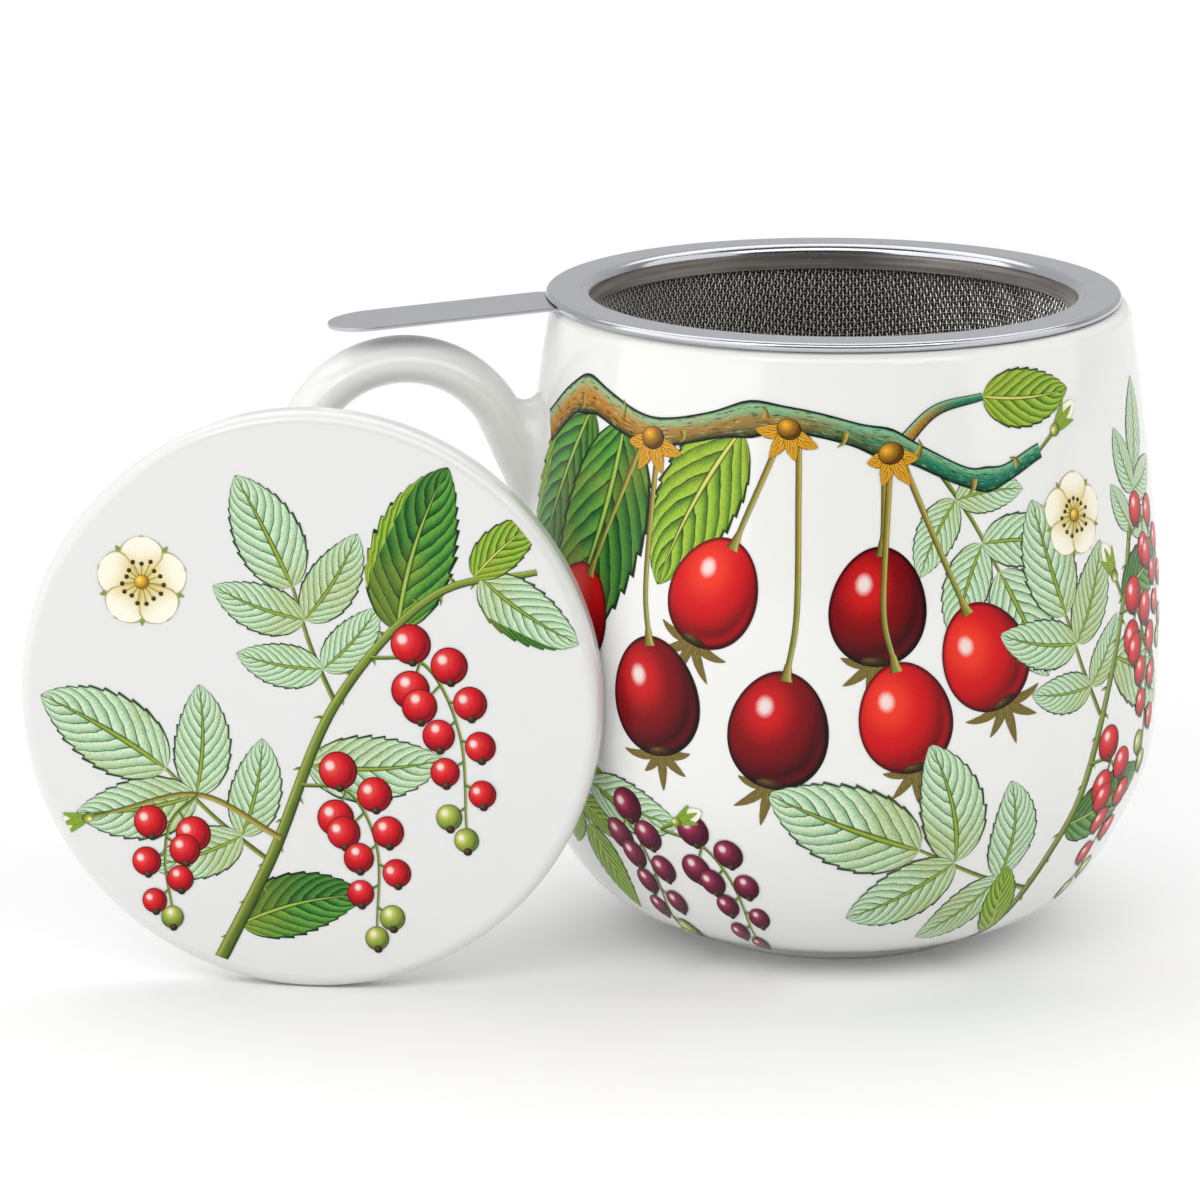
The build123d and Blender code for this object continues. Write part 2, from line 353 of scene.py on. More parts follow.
@dataclass(frozen=True)
class TurnedSteel(SatinSteel):
    """The rim's finish: satin flange, bright rolled shoulder and hem, duller collar with drawing streaks."""

    name: str = "turned_steel"
    deep: Colour = ink(250, 246, 240)  # the collar: a paler copy of the steel, painted light that makes it read brighter
    streak: Colour = ink(190, 185, 178)  # its darker streaks
    polish: float = 0.16  # roughness of the shoulder
    drawn: float = 0.12  # how much rougher the collar is
    shoulder: float = 36.95  # radius where the flat starts, mm
    hem: float = 41.7  # radius where the rolled edge starts, mm
    collar: float = 95.15  # height of the collar's upper end, mm
    inside: float = 39.0  # radius inside which all the collar lies, mm
    turning: float = 0.02  # metres that a turning mark's one radian counts as
    drawing: float = 0.0012  # the same for a streak
    weld_spots: tuple[float, ...] = (-4.0, 0.0, 4.0)  # Y of the spot welds over the strip, mm
    weld_line: float = 38.6  # their distance from the axis along X, mm

    def material(self) -> bpy.types.Material:
        """Builds the finish from the radius, the bearing and the height of a spot.

        Returns:
            The material.
        """
        shader = Shader(self.name)
        x, y, z = shader.parts()
        along = x - INFUSER_X * MM
        radius = (along * along + y * y) ** 0.5
        turn = y.bearing(along)

        def lines(pull: float) -> Socket:
            """Coordinates in which noise draws out into lines round the axis."""
            return shader.add("CombineXYZ", None, X=turn * pull, Y=radius, Z=z).outputs[0]

        grain = shader.noise(5200, 3, where=lines(self.turning))
        scuff = shader.noise(180, 4)
        streaks = shader.noise(1500, 3, where=lines(self.drawing)).rise(0.3, 0.7)
        flat = radius.rise((self.shoulder - 0.3) * MM, (self.shoulder + 0.5) * MM)
        flat = flat * radius.rise((self.hem + 0.15) * MM, (self.hem - 0.25) * MM)
        deep = z.rise((self.collar + 0.1) * MM, (self.collar - 0.15) * MM) * (1 - flat)
        deep = deep * radius.rise((self.inside + 1) * MM, self.inside * MM)
        tint = shader.blend(scuff, self.metal, dimmed(self.metal, 0.92))
        rough = flat * (self.satin - self.polish) + deep * self.drawn + grain * 0.05 + scuff * 0.04
        shader.fix(
            Metallic=1.0,
            # the collar takes the paler steel, painted light, broken by darker drawing streaks
            Base_Color=shader.blend(deep, tint, shader.blend(streaks, self.streak, self.deep)),
            Roughness=rough + (self.polish - 0.04),
        )
        shader.relief(grain * (flat * 0.12 + deep * 0.05) + self.welds(along, y), 0.00001, 0.6)
        return shader.material

    def welds(self, along: Term, across: Term) -> Term:
        """Shallow round dents where the strip is spot-welded below the flange.

        Args:
            along: Distance from the infuser's axis along X.
            across: The same along Y.

        Returns:
            A height of 0 to 1 that dips in each dent.
        """
        dents: Term | float = 0.0
        for spot in self.weld_spots:
            away = ((along + self.weld_line * MM) ** 2 + (across - spot * MM) ** 2) ** 0.5
            dents = away.rise(0.7 * MM, 0.3 * MM) * -3.0 + dents
        return dents


@dataclass(frozen=True)
class PaintedLightWire:
    """Drawn stainless wire: painted highlight where it passes over the others, painted shade where it dips
    into the weave.
    """

    name: str = "bright_wire"
    metal: Colour = ink(255, 253, 250)
    dull: Colour = ink(236, 231, 224)
    # near black: the painted shade where a wire dips into the weave
    deep: Colour = ink(16, 14, 13)
    metallic: float = 0.45
    level_painted_light_share: float = 0.55  # painted shade on the level wires: their share of the painted highlight that the upright wires get
    dip: float = -1.8  # how far a spot would have to face into the weave to get the full painted shade
    painted_highlight_facing: float = 0.4  # and out of it to get the full painted highlight

    def material(self) -> bpy.types.Material:
        """Builds the finish, painted highlight and shade included, from the way a spot faces and the way its
        wire swings there.

        Returns:
            The material.
        """
        shader = Shader(self.name)
        across, ahead, up = shader.parts(shader.add("TexCoord").outputs["Normal"])
        x, y, _ = shader.parts()
        weave = shader.add("Attribute", {"attribute_name": WEAVE}).outputs["Vector"]
        swing, upright, angle = shader.parts(weave)
        x = x - INFUSER_X * MM
        level = (across * x + ahead * y) / (x * x + y * y) ** 0.5
        out = level * (angle + math.pi / 2).sine() - up * angle.sine()
        share = upright * (1 - self.level_painted_light_share) + self.level_painted_light_share
        # painted light: bright where a wire's crest faces out of the weave, near black on its flanks and in
        # its dips
        bright = (out * swing).rise(self.dip, self.painted_highlight_facing) * share
        patch = shader.noise(140, 3)
        shader.fix(
            Metallic=self.metallic,
            Base_Color=shader.blend(bright, self.deep, shader.blend(patch, self.metal, self.dull)),
            Roughness=patch * 0.12 + 0.28,
        )
        return shader.material


@dataclass(frozen=True)
class PaintedShadeBacking:
    """Near-black painted shade behind the bright wires, drawn as a fine inner layer of the cloth."""

    name: str = "close_weave"
    # the painted shade, and the hardly lighter fine wires drawn on it
    dark: Colour = ink(14, 12, 11)
    pale: Colour = ink(58, 53, 49)
    pitch: float = 0.25  # mm from one of its fine wires to the next
    radius: float = 36.0  # where the pitch round the wall is that, mm

    def material(self) -> bpy.types.Material:
        """Builds the finish: near-black painted shade with a fine grid of hardly lighter wires, stronger in
        some patches.

        Returns:
            The material.
        """
        shader = Shader(self.name)
        x, y, z = shader.parts()
        round_wall = y.bearing(x - INFUSER_X * MM) * (self.radius / self.pitch * math.pi)
        level = z * (math.pi / (self.pitch * MM))
        wires = round_wall.sine().size().at_least(level.sine().size()).rise(0.75, 1.0)
        shader.fix(
            Metallic=0.5,
            Base_Color=shader.blend(wires * shader.noise(400, 2), self.dark, self.pale),
            Roughness=wires * -0.1 + 0.6,
        )
        return shader.material


@dataclass(frozen=True)
class LeafPaint:
    """A leaf as an engraver tints it: bowed side veins, shaded fields between them and a dark outline."""

    name: str
    light: Colour
    middle: Colour
    dark: Colour
    vein: Colour
    rib: Colour
    outline: Colour
    pairs: float = 9.0  # side veins on each half
    bow: float = 2.4  # how far the side veins run forward, in fields
    blush: Colour = ink(176, 178, 60)
    shade: float = 0.8  # how dark the field gets behind each vein
    folded: float = 0.0  # how much darker the far half is
    girth: float = 0.55  # the leaf's width beside its length

    def material(self) -> bpy.types.Material:
        """Builds the finish from the leaf's map: u runs from base to tip, v across with the rib at a half.

        Returns:
            The material.
        """
        shader = Shader(self.name)
        u, v, _ = shader.parts(shader.paint_map())
        side = v * 2 - 1
        out = side.size()
        wobble = shader.noise(9, 3, where=shader.paint_map()) - 0.5
        rows = u * self.pairs - (out**1.25) * self.bow + wobble * 0.35 + side.rise(-0.01, 0.01) * 0.5
        step = rows.part()
        fine = shader.noise(90, 3, (1, 0.6, 1), shader.paint_map())
        hatch = (rows * 44.0 + out * 8.0 + fine * 5.0).sine() * 0.5 + 0.5
        lit = step.rise(0.05, 0.95) * 0.9 + fine * 0.2 - 0.05
        base = shader.blend(lit, self.middle, self.light)
        shaded = (1 - step.rise(0.0, 0.5)) * self.shade * (1 - out * 0.45)
        base = shader.blend(shaded * (hatch * 0.45 + 0.55), base, self.dark)
        base = shader.blend((shader.noise(70, 2) + (0.4 - u) * 0.3).rise(0.45, 0.75) * 0.4, base, self.blush)
        beside = (1.0, self.girth, 1.0)
        scaled = shader.add("Mapping", None, Vector=shader.paint_map(), Scale=beside).outputs[0]
        cells = shader.add("TexVoronoi", {"feature": "DISTANCE_TO_EDGE"}, Vector=scaled, Scale=34.0)
        base = shader.blend(Term(cells.outputs["Distance"]).rise(0.09, 0.02) * 0.22, base, self.vein)
        if self.folded:
            base = shader.blend(side.rise(-0.02, 0.04) * self.folded, base, self.dark)
        line = (step - 0.5).size().rise(0.425, 0.475)
        base = shader.blend(line * (1 - out * 0.25) * 0.95, base, self.vein)
        from_rib = out - (0.075 - u * 0.05)
        base = shader.blend(from_rib.rise(0.02, -0.02), base, self.rib)
        base = shader.blend(from_rib.size().rise(0.035, 0.008) * 0.8, base, self.vein)
        edge = out.rise(0.9, 0.95).at_least(u.rise(0.98, 0.995))
        return shader.fired(shader.blend(edge * 0.95, base, self.outline))


@dataclass(frozen=True)
class FruitPaint:
    """A round fruit: lit from the upper left, dark round the far edge, with a highlight and fine stipple."""

    name: str
    light: Colour
    middle: Colour
    dark: Colour
    glint: Colour = (0.9, 0.82, 0.78)
    glint_size: float = 0.13
    ribs: float = 0.0  # faint lines from end to end, as on a currant

    def material(self) -> bpy.types.Material:
        """Builds the finish from the fruit's map, whose middle is at a half each way.

        Returns:
            The material.
        """
        shader = Shader(self.name)
        u, v, _ = shader.parts(shader.paint_map())
        x, y = u * 2 - 1, v * 2 - 1
        grain = (shader.noise(60, 2, where=shader.paint_map()) - 0.5) * 0.35
        from_light = ((x + 0.3) ** 2 + (y - 0.32) ** 2) ** 0.5 + grain
        out = (x * x + y * y) ** 0.5
        base = shader.blend(from_light.rise(0.15, 0.75), self.light, self.middle)
        base = shader.blend(from_light.rise(0.7, 1.3), base, self.dark)
        if self.ribs:
            stripes = ((x / (1.02 - y * y).at_least(0.05) ** 0.5) * self.ribs).sine().size().rise(0.16, 0.0)
            base = shader.blend(stripes * 0.35, base, self.dark)
        turned = out.rise(0.72, 0.84) * out.rise(0.94, 0.88) * (x - y + grain).rise(0.35, 1.15)
        base = shader.blend(turned * 0.4, base, self.middle)
        base = shader.blend(out.rise(0.9, 0.985) * 0.85, base, dimmed(self.dark, 0.35))
        from_glint = ((x + 0.34) ** 2 + (y - 0.36) ** 2) ** 0.5 + grain * 0.2
        spark = from_glint.rise(self.glint_size * 1.7, self.glint_size * 0.5)
        return shader.fired(shader.blend(spark * 0.85, base, self.glint))


@dataclass(frozen=True)
class StemPaint:
    """A stalk or twig: lit along its upper side, lined along the lower one, mottled along its length."""

    name: str
    start: Colour
    end: Colour
    dark: Colour
    light: Colour
    bark: float = 0.0  # how strong the bark's marks are
    outline: float = 0.75

    def material(self) -> bpy.types.Material:
        """Builds the finish from the strip's map: u runs along it, v across it.

        Returns:
            The material.
        """
        shader = Shader(self.name)
        u, v, _ = shader.parts(shader.paint_map())
        mottle = shader.noise(14, 4, (1, 0.25, 1), shader.paint_map()) - 0.5
        base = shader.blend((u + mottle * 0.5).rise(0.15, 0.85), self.start, self.end)
        base = shader.blend((v + mottle * 0.3).rise(0.45, 0.95) * 0.75, base, self.light)
        base = shader.blend((v + mottle * 0.3).rise(0.45, 0.05) * 0.8, base, self.dark)
        if self.bark:
            crack = shader.noise(10, 5, (6, 1.4, 1), shader.paint_map())
            base = shader.blend(crack.rise(0.56, 0.66) * self.bark, base, self.dark)
            base = shader.blend(crack.rise(0.42, 0.34) * self.bark * 0.7, base, self.light)
        edge = (v - 0.5).size().rise(0.36, 0.46)
        return shader.fired(shader.blend(edge * self.outline, base, dimmed(self.dark, 0.5)))


@dataclass(frozen=True)
class PetalPaint:
    """A pale petal: warm towards its foot, with faint veins and a thin outline."""

    name: str
    pale: Colour = ink(250, 246, 226)
    warm: Colour = ink(226, 206, 120)
    line: Colour = ink(150, 128, 70)

    def material(self) -> bpy.types.Material:
        """Builds the finish from the petal's map, whose u runs from foot to edge.

        Returns:
            The material.
        """
        shader = Shader(self.name)
        u, v, _ = shader.parts(shader.paint_map())
        side = (v * 2 - 1).size()
        rays = (side * 22.0).sine().size().rise(0.3, 0.0)
        base = shader.blend(u.rise(0.75, 0.1), self.pale, self.warm)
        base = shader.blend(rays * u.rise(0.95, 0.4) * 0.4, base, self.line)
        edge = side.rise(0.88, 0.97).at_least(u.rise(0.94, 0.985))
        return shader.fired(shader.blend(edge * 0.8, base, self.line))


# ---------------------------------------------------------------- making pieces


def deselect() -> None:
    """Leaves object mode with nothing selected."""
    if bpy.context.object and bpy.context.object.mode != "OBJECT":
        bpy.ops.object.mode_set(mode="OBJECT")
    bpy.ops.object.select_all(action="DESELECT")


def choose(*pieces: Piece) -> None:
    """Selects these pieces alone and makes the first the active one.

    Args:
        pieces: The objects.
    """
    deselect()
    for piece in pieces:
        piece.select_set(True)
    bpy.context.view_layer.objects.active = pieces[0]


def coordinates(mesh: bpy.types.Mesh) -> np.ndarray:
    """Reads where a mesh's vertices are.

    Args:
        mesh: The mesh.

    Returns:
        Rows of x, y, z.
    """
    found = np.empty(len(mesh.vertices) * 3)
    mesh.vertices.foreach_get("co", found)
    return found.reshape(-1, 3)


def set_coordinates(mesh: bpy.types.Mesh, places: np.ndarray) -> None:
    """Moves a mesh's vertices to rows of x, y, z."""
    mesh.vertices.foreach_set("co", np.ascontiguousarray(places, np.float64).ravel())
    mesh.update()


def grid_piece(columns: int, rows: int) -> tuple[Piece, np.ndarray, np.ndarray]:
    """Adds a flat grid.

    Args:
        columns: Cells along its first side.
        rows: Cells along its second side.

    Returns:
        The object, and how far along each side every vertex lies, 0 to 1.
    """
    deselect()
    bpy.ops.mesh.primitive_grid_add(x_subdivisions=columns, y_subdivisions=rows, size=2)
    piece = bpy.context.object
    grid = coordinates(piece.data)
    return piece, (grid[:, 0] + 1) / 2, (grid[:, 1] + 1) / 2


def tidied(piece: Piece, gap: float = 0.0) -> None:
    """Turns a piece's faces outwards, and merges its vertices first where a gap is given.

    Args:
        piece: The object.
        gap: Distance up to which vertices become one, mm.
    """
    choose(piece)
    bpy.ops.object.mode_set(mode="EDIT")
    bpy.ops.mesh.select_all(action="SELECT")
    if gap:
        bpy.ops.mesh.remove_doubles(threshold=gap * MM)
    bpy.ops.mesh.normals_make_consistent(inside=False)
    bpy.ops.object.mode_set(mode="OBJECT")


def modified(piece: Piece, kind: str, **settings: object) -> None:
    """Adds a modifier and applies it.

    Args:
        piece: The object.
        kind: The modifier's type.
        settings: Its settings, by name.
    """
    choose(piece)
    modifier = piece.modifiers.new(kind, kind)
    for name, value in settings.items():
        setattr(modifier, name, value)
    bpy.ops.object.modifier_apply(modifier=modifier.name)


def finished(piece: Piece, name: str, body: str, material: bpy.types.Material) -> Piece:
    """Names a piece, dresses it and lets it ride on its body.

    Args:
        piece: The object.
        name: Its name.
        body: The CAD body that it moves with.
        material: Its finish.

    Returns:
        The piece.
    """
    piece.name = name
    piece.data.name = name
    piece.data.materials.clear()
    piece.data.materials.append(material)
    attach(piece, body)
    return piece


def dress_node(node: str, material: bpy.types.Material) -> None:
    """Gives a CAD node its finish.

    Args:
        node: The node's name.
        material: The finish.
    """
    piece = frame["nodes"][node]
    piece.data.materials.clear()
    piece.data.materials.append(material)
    log.info("%s keeps its solid, finished in %s", node, material.name)


# ---------------------------------------------------------------- infuser


@dataclass
class Net:
    """A stretch of wire cloth as a grid of crossings. Each field is an array over that grid."""

    middle: np.ndarray  # where each crossing is, mm
    outward: np.ndarray  # the cloth's outward direction there
    angle: np.ndarray  # how far that direction points below level, in radians
    keep: np.ndarray  # whether the cloth reaches the crossing
    paint: np.ndarray  # its place on the map for baking
    side: np.ndarray  # direction in the cloth across the wires that run along the second index
    ahead: np.ndarray  # the same for those that run along the first index
    sign: np.ndarray  # which way the wire along the second index swings, 1 out and -1 in

    def each(self, change: Callable[[np.ndarray], np.ndarray]) -> "Net":
        """The net with the same change made to every array."""
        return Net(*map(change, vars(self).values()))


@dataclass
class Infuser:
    """The steel infuser: the hoop keeps its solid, rim and tab are made anew and the cloth is woven."""

    flange_top: float = 96.5
    flange_radius: float = 42.25
    rim_sheet: float = 0.5
    hem_radius: float = 0.65
    hem_return: float = 1.0
    shoulder_roll: float = 1.35
    collar_radius: float = 35.6
    collar_bottom: float = 92.8
    rim_steps: int = 288  # round the rim
    arc_steps: int = 14  # along each rolled edge of its section
    notch: tuple[float, float] = (4.6, 14.0)  # along X and Y, cut from the hem for the strip
    cloth_radius: float = 36.3  # middle of the cloth at the collar
    cloth_top: float = 94.7
    taper_start: float = 92.3
    basket_bottom: float = 24.5
    taper: float = 2.6
    corner: float = 9.2
    upright_wire: float = 0.1  # wire radii
    level_wire: float = 0.07
    crimp: float = 0.12  # how far a wire swings out and in
    columns: int = 444  # wires round the wall
    row_pitch: float = 0.88
    floor_pitch: float = 0.7
    floor_overlap: float = 0.4  # how far the bottom's cloth runs past where the corner starts
    cloth_turn: float = 80.0  # degrees about Z of one of the cloth's own directions
    sway: float = 3.6  # how far the rows climb between the cloth's directions
    lean: float = 0.12  # how far the upright wires lean there, per mm down
    lean_grows: float = 22.0  # mm from the top down to which the lean adds up
    lean_ends: float = 60.0  # mm from the top where the wires stand straight again
    wave: float = 0.12  # how far they swing to the sides there
    wave_turn: float = 0.9  # radians of that swing per mm down
    wave_count: int = 31  # and whole swings round the wall
    pinch: float = 0.1  # how far neighbours draw together and apart from row to row
    row_shake: float = 0.07  # spread of the crossings' own irregularities down the wall, mm
    side_shake: float = 0.05  # and round it
    seed: int = 4
    sectors: int = 4
    tab_cells: tuple[int, int] = (90, 24)
    tab_width: float = 13.2
    tab_sheet: float = 0.5
    tab_step: float = 0.3
    tab_root: float = 37.4
    tab_pad: float = 1.8
    tab_step_run: float = 1.0
    tab_bend: float = 43.2
    tab_reach: float = 74.4
    tab_droop: float = 4.9
    tab_edge: float = 0.14
    # the sheet of painted shade behind the wires: its grid and its thickness
    shade_layer_cells: tuple[int, int] = (144, 60)
    shade_layer_sheet: float = 0.03
    steel: SatinSteel = field(default_factory=SatinSteel)
    turned: TurnedSteel = field(default_factory=TurnedSteel)
    bright: PaintedLightWire = field(default_factory=PaintedLightWire)
    # the finish of that sheet of painted shade
    close: PaintedShadeBacking = field(default_factory=PaintedShadeBacking)

    def build(self) -> list[Piece]:
        """Makes every piece.

        Returns:
            The new pieces.
        """
        steel = self.steel.material()
        dress_node("mesh_hoop", steel)
        return [self.rim(), self.tab(steel), *self.basket()]

    def standing(self, radius: np.ndarray, turn: np.ndarray, height: np.ndarray) -> np.ndarray:
        """Places round the infuser's axis, in metres, from radius and height in mm and turn in radians."""
        return np.stack([INFUSER_X + radius * np.cos(turn), radius * np.sin(turn), height], -1) * MM

    def section(self) -> np.ndarray:
        """Draws the rim's section: collar, rolled shoulder, flat flange and the hem turned under.

        Returns:
            Rows of radius and height in mm, back at the first one at the end.
        """
        fold = np.array([self.flange_radius - self.hem_radius, self.flange_top - self.hem_radius])
        roll = np.array([self.collar_radius, self.flange_top - self.shoulder_roll]) + [self.shoulder_roll, 0]
        hem_end, hem_bottom = fold[0] - self.hem_return, self.flange_top - 2 * self.hem_radius
        back = self.collar_radius + self.rim_sheet

        def arc(centre: np.ndarray, radius: float, start: float, end: float) -> np.ndarray:
            """Points along an arc between two directions in degrees."""
            turn = np.radians(np.linspace(start, end, self.arc_steps + 1))
            return centre + radius * np.stack([np.cos(turn), np.sin(turn)], -1)

        parts = [
            arc(roll, self.shoulder_roll, 180, 90),
            arc(fold, self.hem_radius, 90, -90),
            [[hem_end, hem_bottom], [hem_end, hem_bottom + self.rim_sheet]],
            arc(fold, self.hem_radius - self.rim_sheet, -90, 90),
            arc(roll, self.shoulder_roll - self.rim_sheet, 90, 180),
            [[back, self.collar_bottom], [self.collar_radius, self.collar_bottom]],
        ]
        return np.concatenate([*parts, parts[0][:1]])

    def rim(self) -> Piece:
        """Turns the rim from its section, rolled edges and all, and cuts the strip's notch from the hem.

        Returns:
            The piece, which stands for the rim's solid.
        """
        section = self.section()
        piece, around, along = grid_piece(self.rim_steps, len(section) - 1)
        radius, height = section[np.rint(along * (len(section) - 1)).astype(int)].T
        set_coordinates(piece.data, self.standing(radius, around * math.tau, height))
        tidied(piece, 0.002)
        tall = 2 * self.hem_radius
        x = INFUSER_X - self.flange_radius + self.hem_radius
        z = self.flange_top - self.rim_sheet - tall / 2
        deselect()
        bpy.ops.mesh.primitive_cube_add(size=MM, location=(x * MM, 0, z * MM), scale=(*self.notch, tall))
        cutter = bpy.context.object
        modified(piece, "BOOLEAN", object=cutter, operation="DIFFERENCE", solver="EXACT")
        bpy.data.objects.remove(cutter)
        bpy.ops.object.shade_smooth_by_angle(angle=SMOOTH_ANGLE)
        finished(piece, "pressed_rim", "infuser", self.turned.material())
        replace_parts(piece, "infuser_rim")
        return piece

    def fall(self) -> tuple[float, float]:
        """Angle of the wall's tapered side from vertical, in radians, and its length in mm."""
        drop = self.taper_start - self.basket_bottom - self.corner
        return math.atan2(self.taper, drop), math.hypot(self.taper, drop)

    def wall_length(self) -> float:
        """Length of the cloth from its upper edge to where the bottom gets flat."""
        slope, side = self.fall()
        return self.cloth_top - self.taper_start + side + self.corner * (math.pi / 2 - slope)

    def meridian(self, run: np.ndarray) -> tuple[np.ndarray, np.ndarray, np.ndarray]:
        """Follows the cloth's middle from its upper edge down to the flat bottom.

        Args:
            run: Distances along it from the upper edge, mm.

        Returns:
            Radius, height and the downward path's angle from vertical in radians, for each distance.
        """
        slope, side = self.fall()
        straight = self.cloth_top - self.taper_start
        corner_x = self.cloth_radius - self.taper - self.corner * math.cos(slope)
        corner_z = self.basket_bottom + self.corner
        on_side = np.clip(run - straight, 0, side)
        angle = slope + np.clip((run - straight - side) / self.corner, 0, math.pi / 2 - slope)
        past = np.clip(run - straight - side - self.corner * (math.pi / 2 - slope), 0, None)
        bent = run > straight + side
        wall_x = self.cloth_radius - on_side * math.sin(slope)
        wall_z = self.cloth_top - np.clip(run, 0, straight) - on_side * math.cos(slope)
        radius = np.where(bent, corner_x + self.corner * np.cos(angle) - past, wall_x)
        height = np.where(bent, corner_z - self.corner * np.sin(angle), wall_z)
        return radius, height, np.where(bent, angle, np.where(run > straight, slope, 0.0))

    def wall_net(self) -> Net:
        """Lays out the wall's crossings, with the lean, the waves and the irregularities of drawn cloth.

        Returns:
            The net, whose first index runs round the wall and whose second runs down it.
        """
        length = self.wall_length()
        rows = int((length + self.sway) / self.row_pitch) + 2
        i, j = np.meshgrid(np.arange(self.columns + 1), np.arange(rows), indexing="ij")
        shake = np.random.default_rng(self.seed).normal(0, 1, (2, self.columns, rows))
        shake = np.concatenate([shake, shake[:, :1]], axis=1)
        around = math.tau * i / self.columns
        quarter = (around - math.radians(self.cloth_turn)) * 2
        climb = self.sway * np.abs(np.sin(quarter)) ** 1.5
        run = j * self.row_pitch - climb + shake[0] * self.row_shake
        leaning = np.clip(run, 0, self.lean_grows) * np.clip(1 - run / self.lean_ends, 0, 1)
        leaning = self.lean * np.sin(quarter * 2) * leaning
        wave = self.wave * np.sin(run * self.wave_turn + around * self.wave_count) * np.abs(np.sin(quarter))
        sign = np.where((i + j) % 2 == 0, 1.0, -1.0)
        aside = leaning + wave + sign * self.pinch + shake[1] * self.side_shake
        around = around + aside / self.cloth_radius
        radius, height, angle = self.meridian(run)
        level = np.stack([np.cos(around), np.sin(around), np.zeros_like(around)], -1)
        up = np.array([0.0, 0.0, 1.0])
        cosine, sine = np.cos(angle)[..., None], np.sin(angle)[..., None]
        return Net(
            middle=level * radius[..., None] + up * height[..., None] + np.array([INFUSER_X, 0.0, 0.0]),
            outward=level * cosine - up * sine,
            angle=angle,
            keep=(run >= 0) & (run <= length),
            paint=np.stack([around, run], -1),
            side=np.stack([-np.sin(around), np.cos(around), np.zeros_like(around)], -1),
            ahead=-level * sine - up * cosine,
            sign=sign,
        )

    def basket(self) -> list[Piece]:
        """Weaves the wall in sectors and the bottom in one piece, and puts a sheet of painted shade behind
        them.

        Returns:
            The pieces, of which the first stands for the cloth's solid.
        """
        wire = self.bright.material()
        wall = self.wall_net()
        pieces = []
        for sector in range(self.sectors):
            low, high = (self.columns * end // self.sectors for end in (sector, sector + 1))
            net = wall.each(lambda part: part[low : high + 1])
            families = [self.wires(net, along_rows=False, drop_last=True), self.wires(net, along_rows=True)]
            pieces.append(self.cloth_piece(f"basket_wall_{sector + 1}", families, wire))
        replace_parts(pieces[0], "infuser_mesh")
        return [*pieces, self.floor(wire), self.painted_shade_layer()]

    def painted_shade_layer(self) -> Piece:
        """Makes the sheet of painted shade behind the wires: a cup along the cloth's middle, with a little
        thickness.

        Returns:
            The piece.
        """
        piece, around, along = grid_piece(*self.shade_layer_cells)
        flat_radius, _, _ = self.meridian(np.array([self.wall_length()]))
        radius, height, _ = self.meridian(along * (self.wall_length() + flat_radius[0]))
        set_coordinates(piece.data, self.standing(np.maximum(radius, 0.0), around * math.tau, height))
        tidied(piece, 0.01)
        modified(piece, "SOLIDIFY", thickness=self.shade_layer_sheet * MM, offset=0)
        piece.data.shade_smooth()
        return finished(piece, "basket_lining", "infuser", self.close.material())

    def wires(self, net: Net, along_rows: bool, drop_last: bool = False) -> tuple[np.ndarray, ...]:
        """Four-sided wires through the crossings, one edge of each turned inwards and one outwards.

        Args:
            net: The crossings.
            along_rows: Whether the wires run along the net's first index.
            drop_last: Whether the last wire belongs to the next piece.

        Returns:
            Vertices, four-sided faces, map places and weave values.
        """
        if along_rows:
            net = net.each(lambda part: part.swapaxes(0, 1))
        if drop_last:
            net = net.each(lambda part: part[:-1])
        side, sign, thick = net.side, net.sign, self.upright_wire
        if along_rows:
            side, sign, thick = net.ahead, -net.sign, self.level_wire
        centre = net.middle + net.outward * (sign * self.crimp)[..., None]
        count, length = sign.shape
        edges, maps = [], []
        for turn in (0, 90, 180, 270):
            cosine, sine = math.cos(math.radians(turn)), math.sin(math.radians(turn))
            edges.append(centre + (side * cosine + net.outward * sine) * thick)
            maps.append(net.paint + np.array([cosine, cosine]) * 0.004)
        sides = len(edges)
        weave = np.stack([sign, np.full(sign.shape, float(not along_rows)), net.angle], -1)
        first = (np.arange(count)[:, None] * length + np.arange(length - 1)[None]) * sides
        first = first[net.keep[:, :-1] & net.keep[:, 1:]]
        second = first + sides
        corners = [(number, (number + 1) % sides) for number in range(sides)]
        faces = [np.stack([first + a, first + b, second + b, second + a], -1) for a, b in corners]
        return (
            np.stack(edges, 2).reshape(-1, 3),
            np.concatenate(faces),
            np.stack(maps, 2).reshape(-1, 2),
            weave.reshape(-1, 3).repeat(sides, 0),
        )

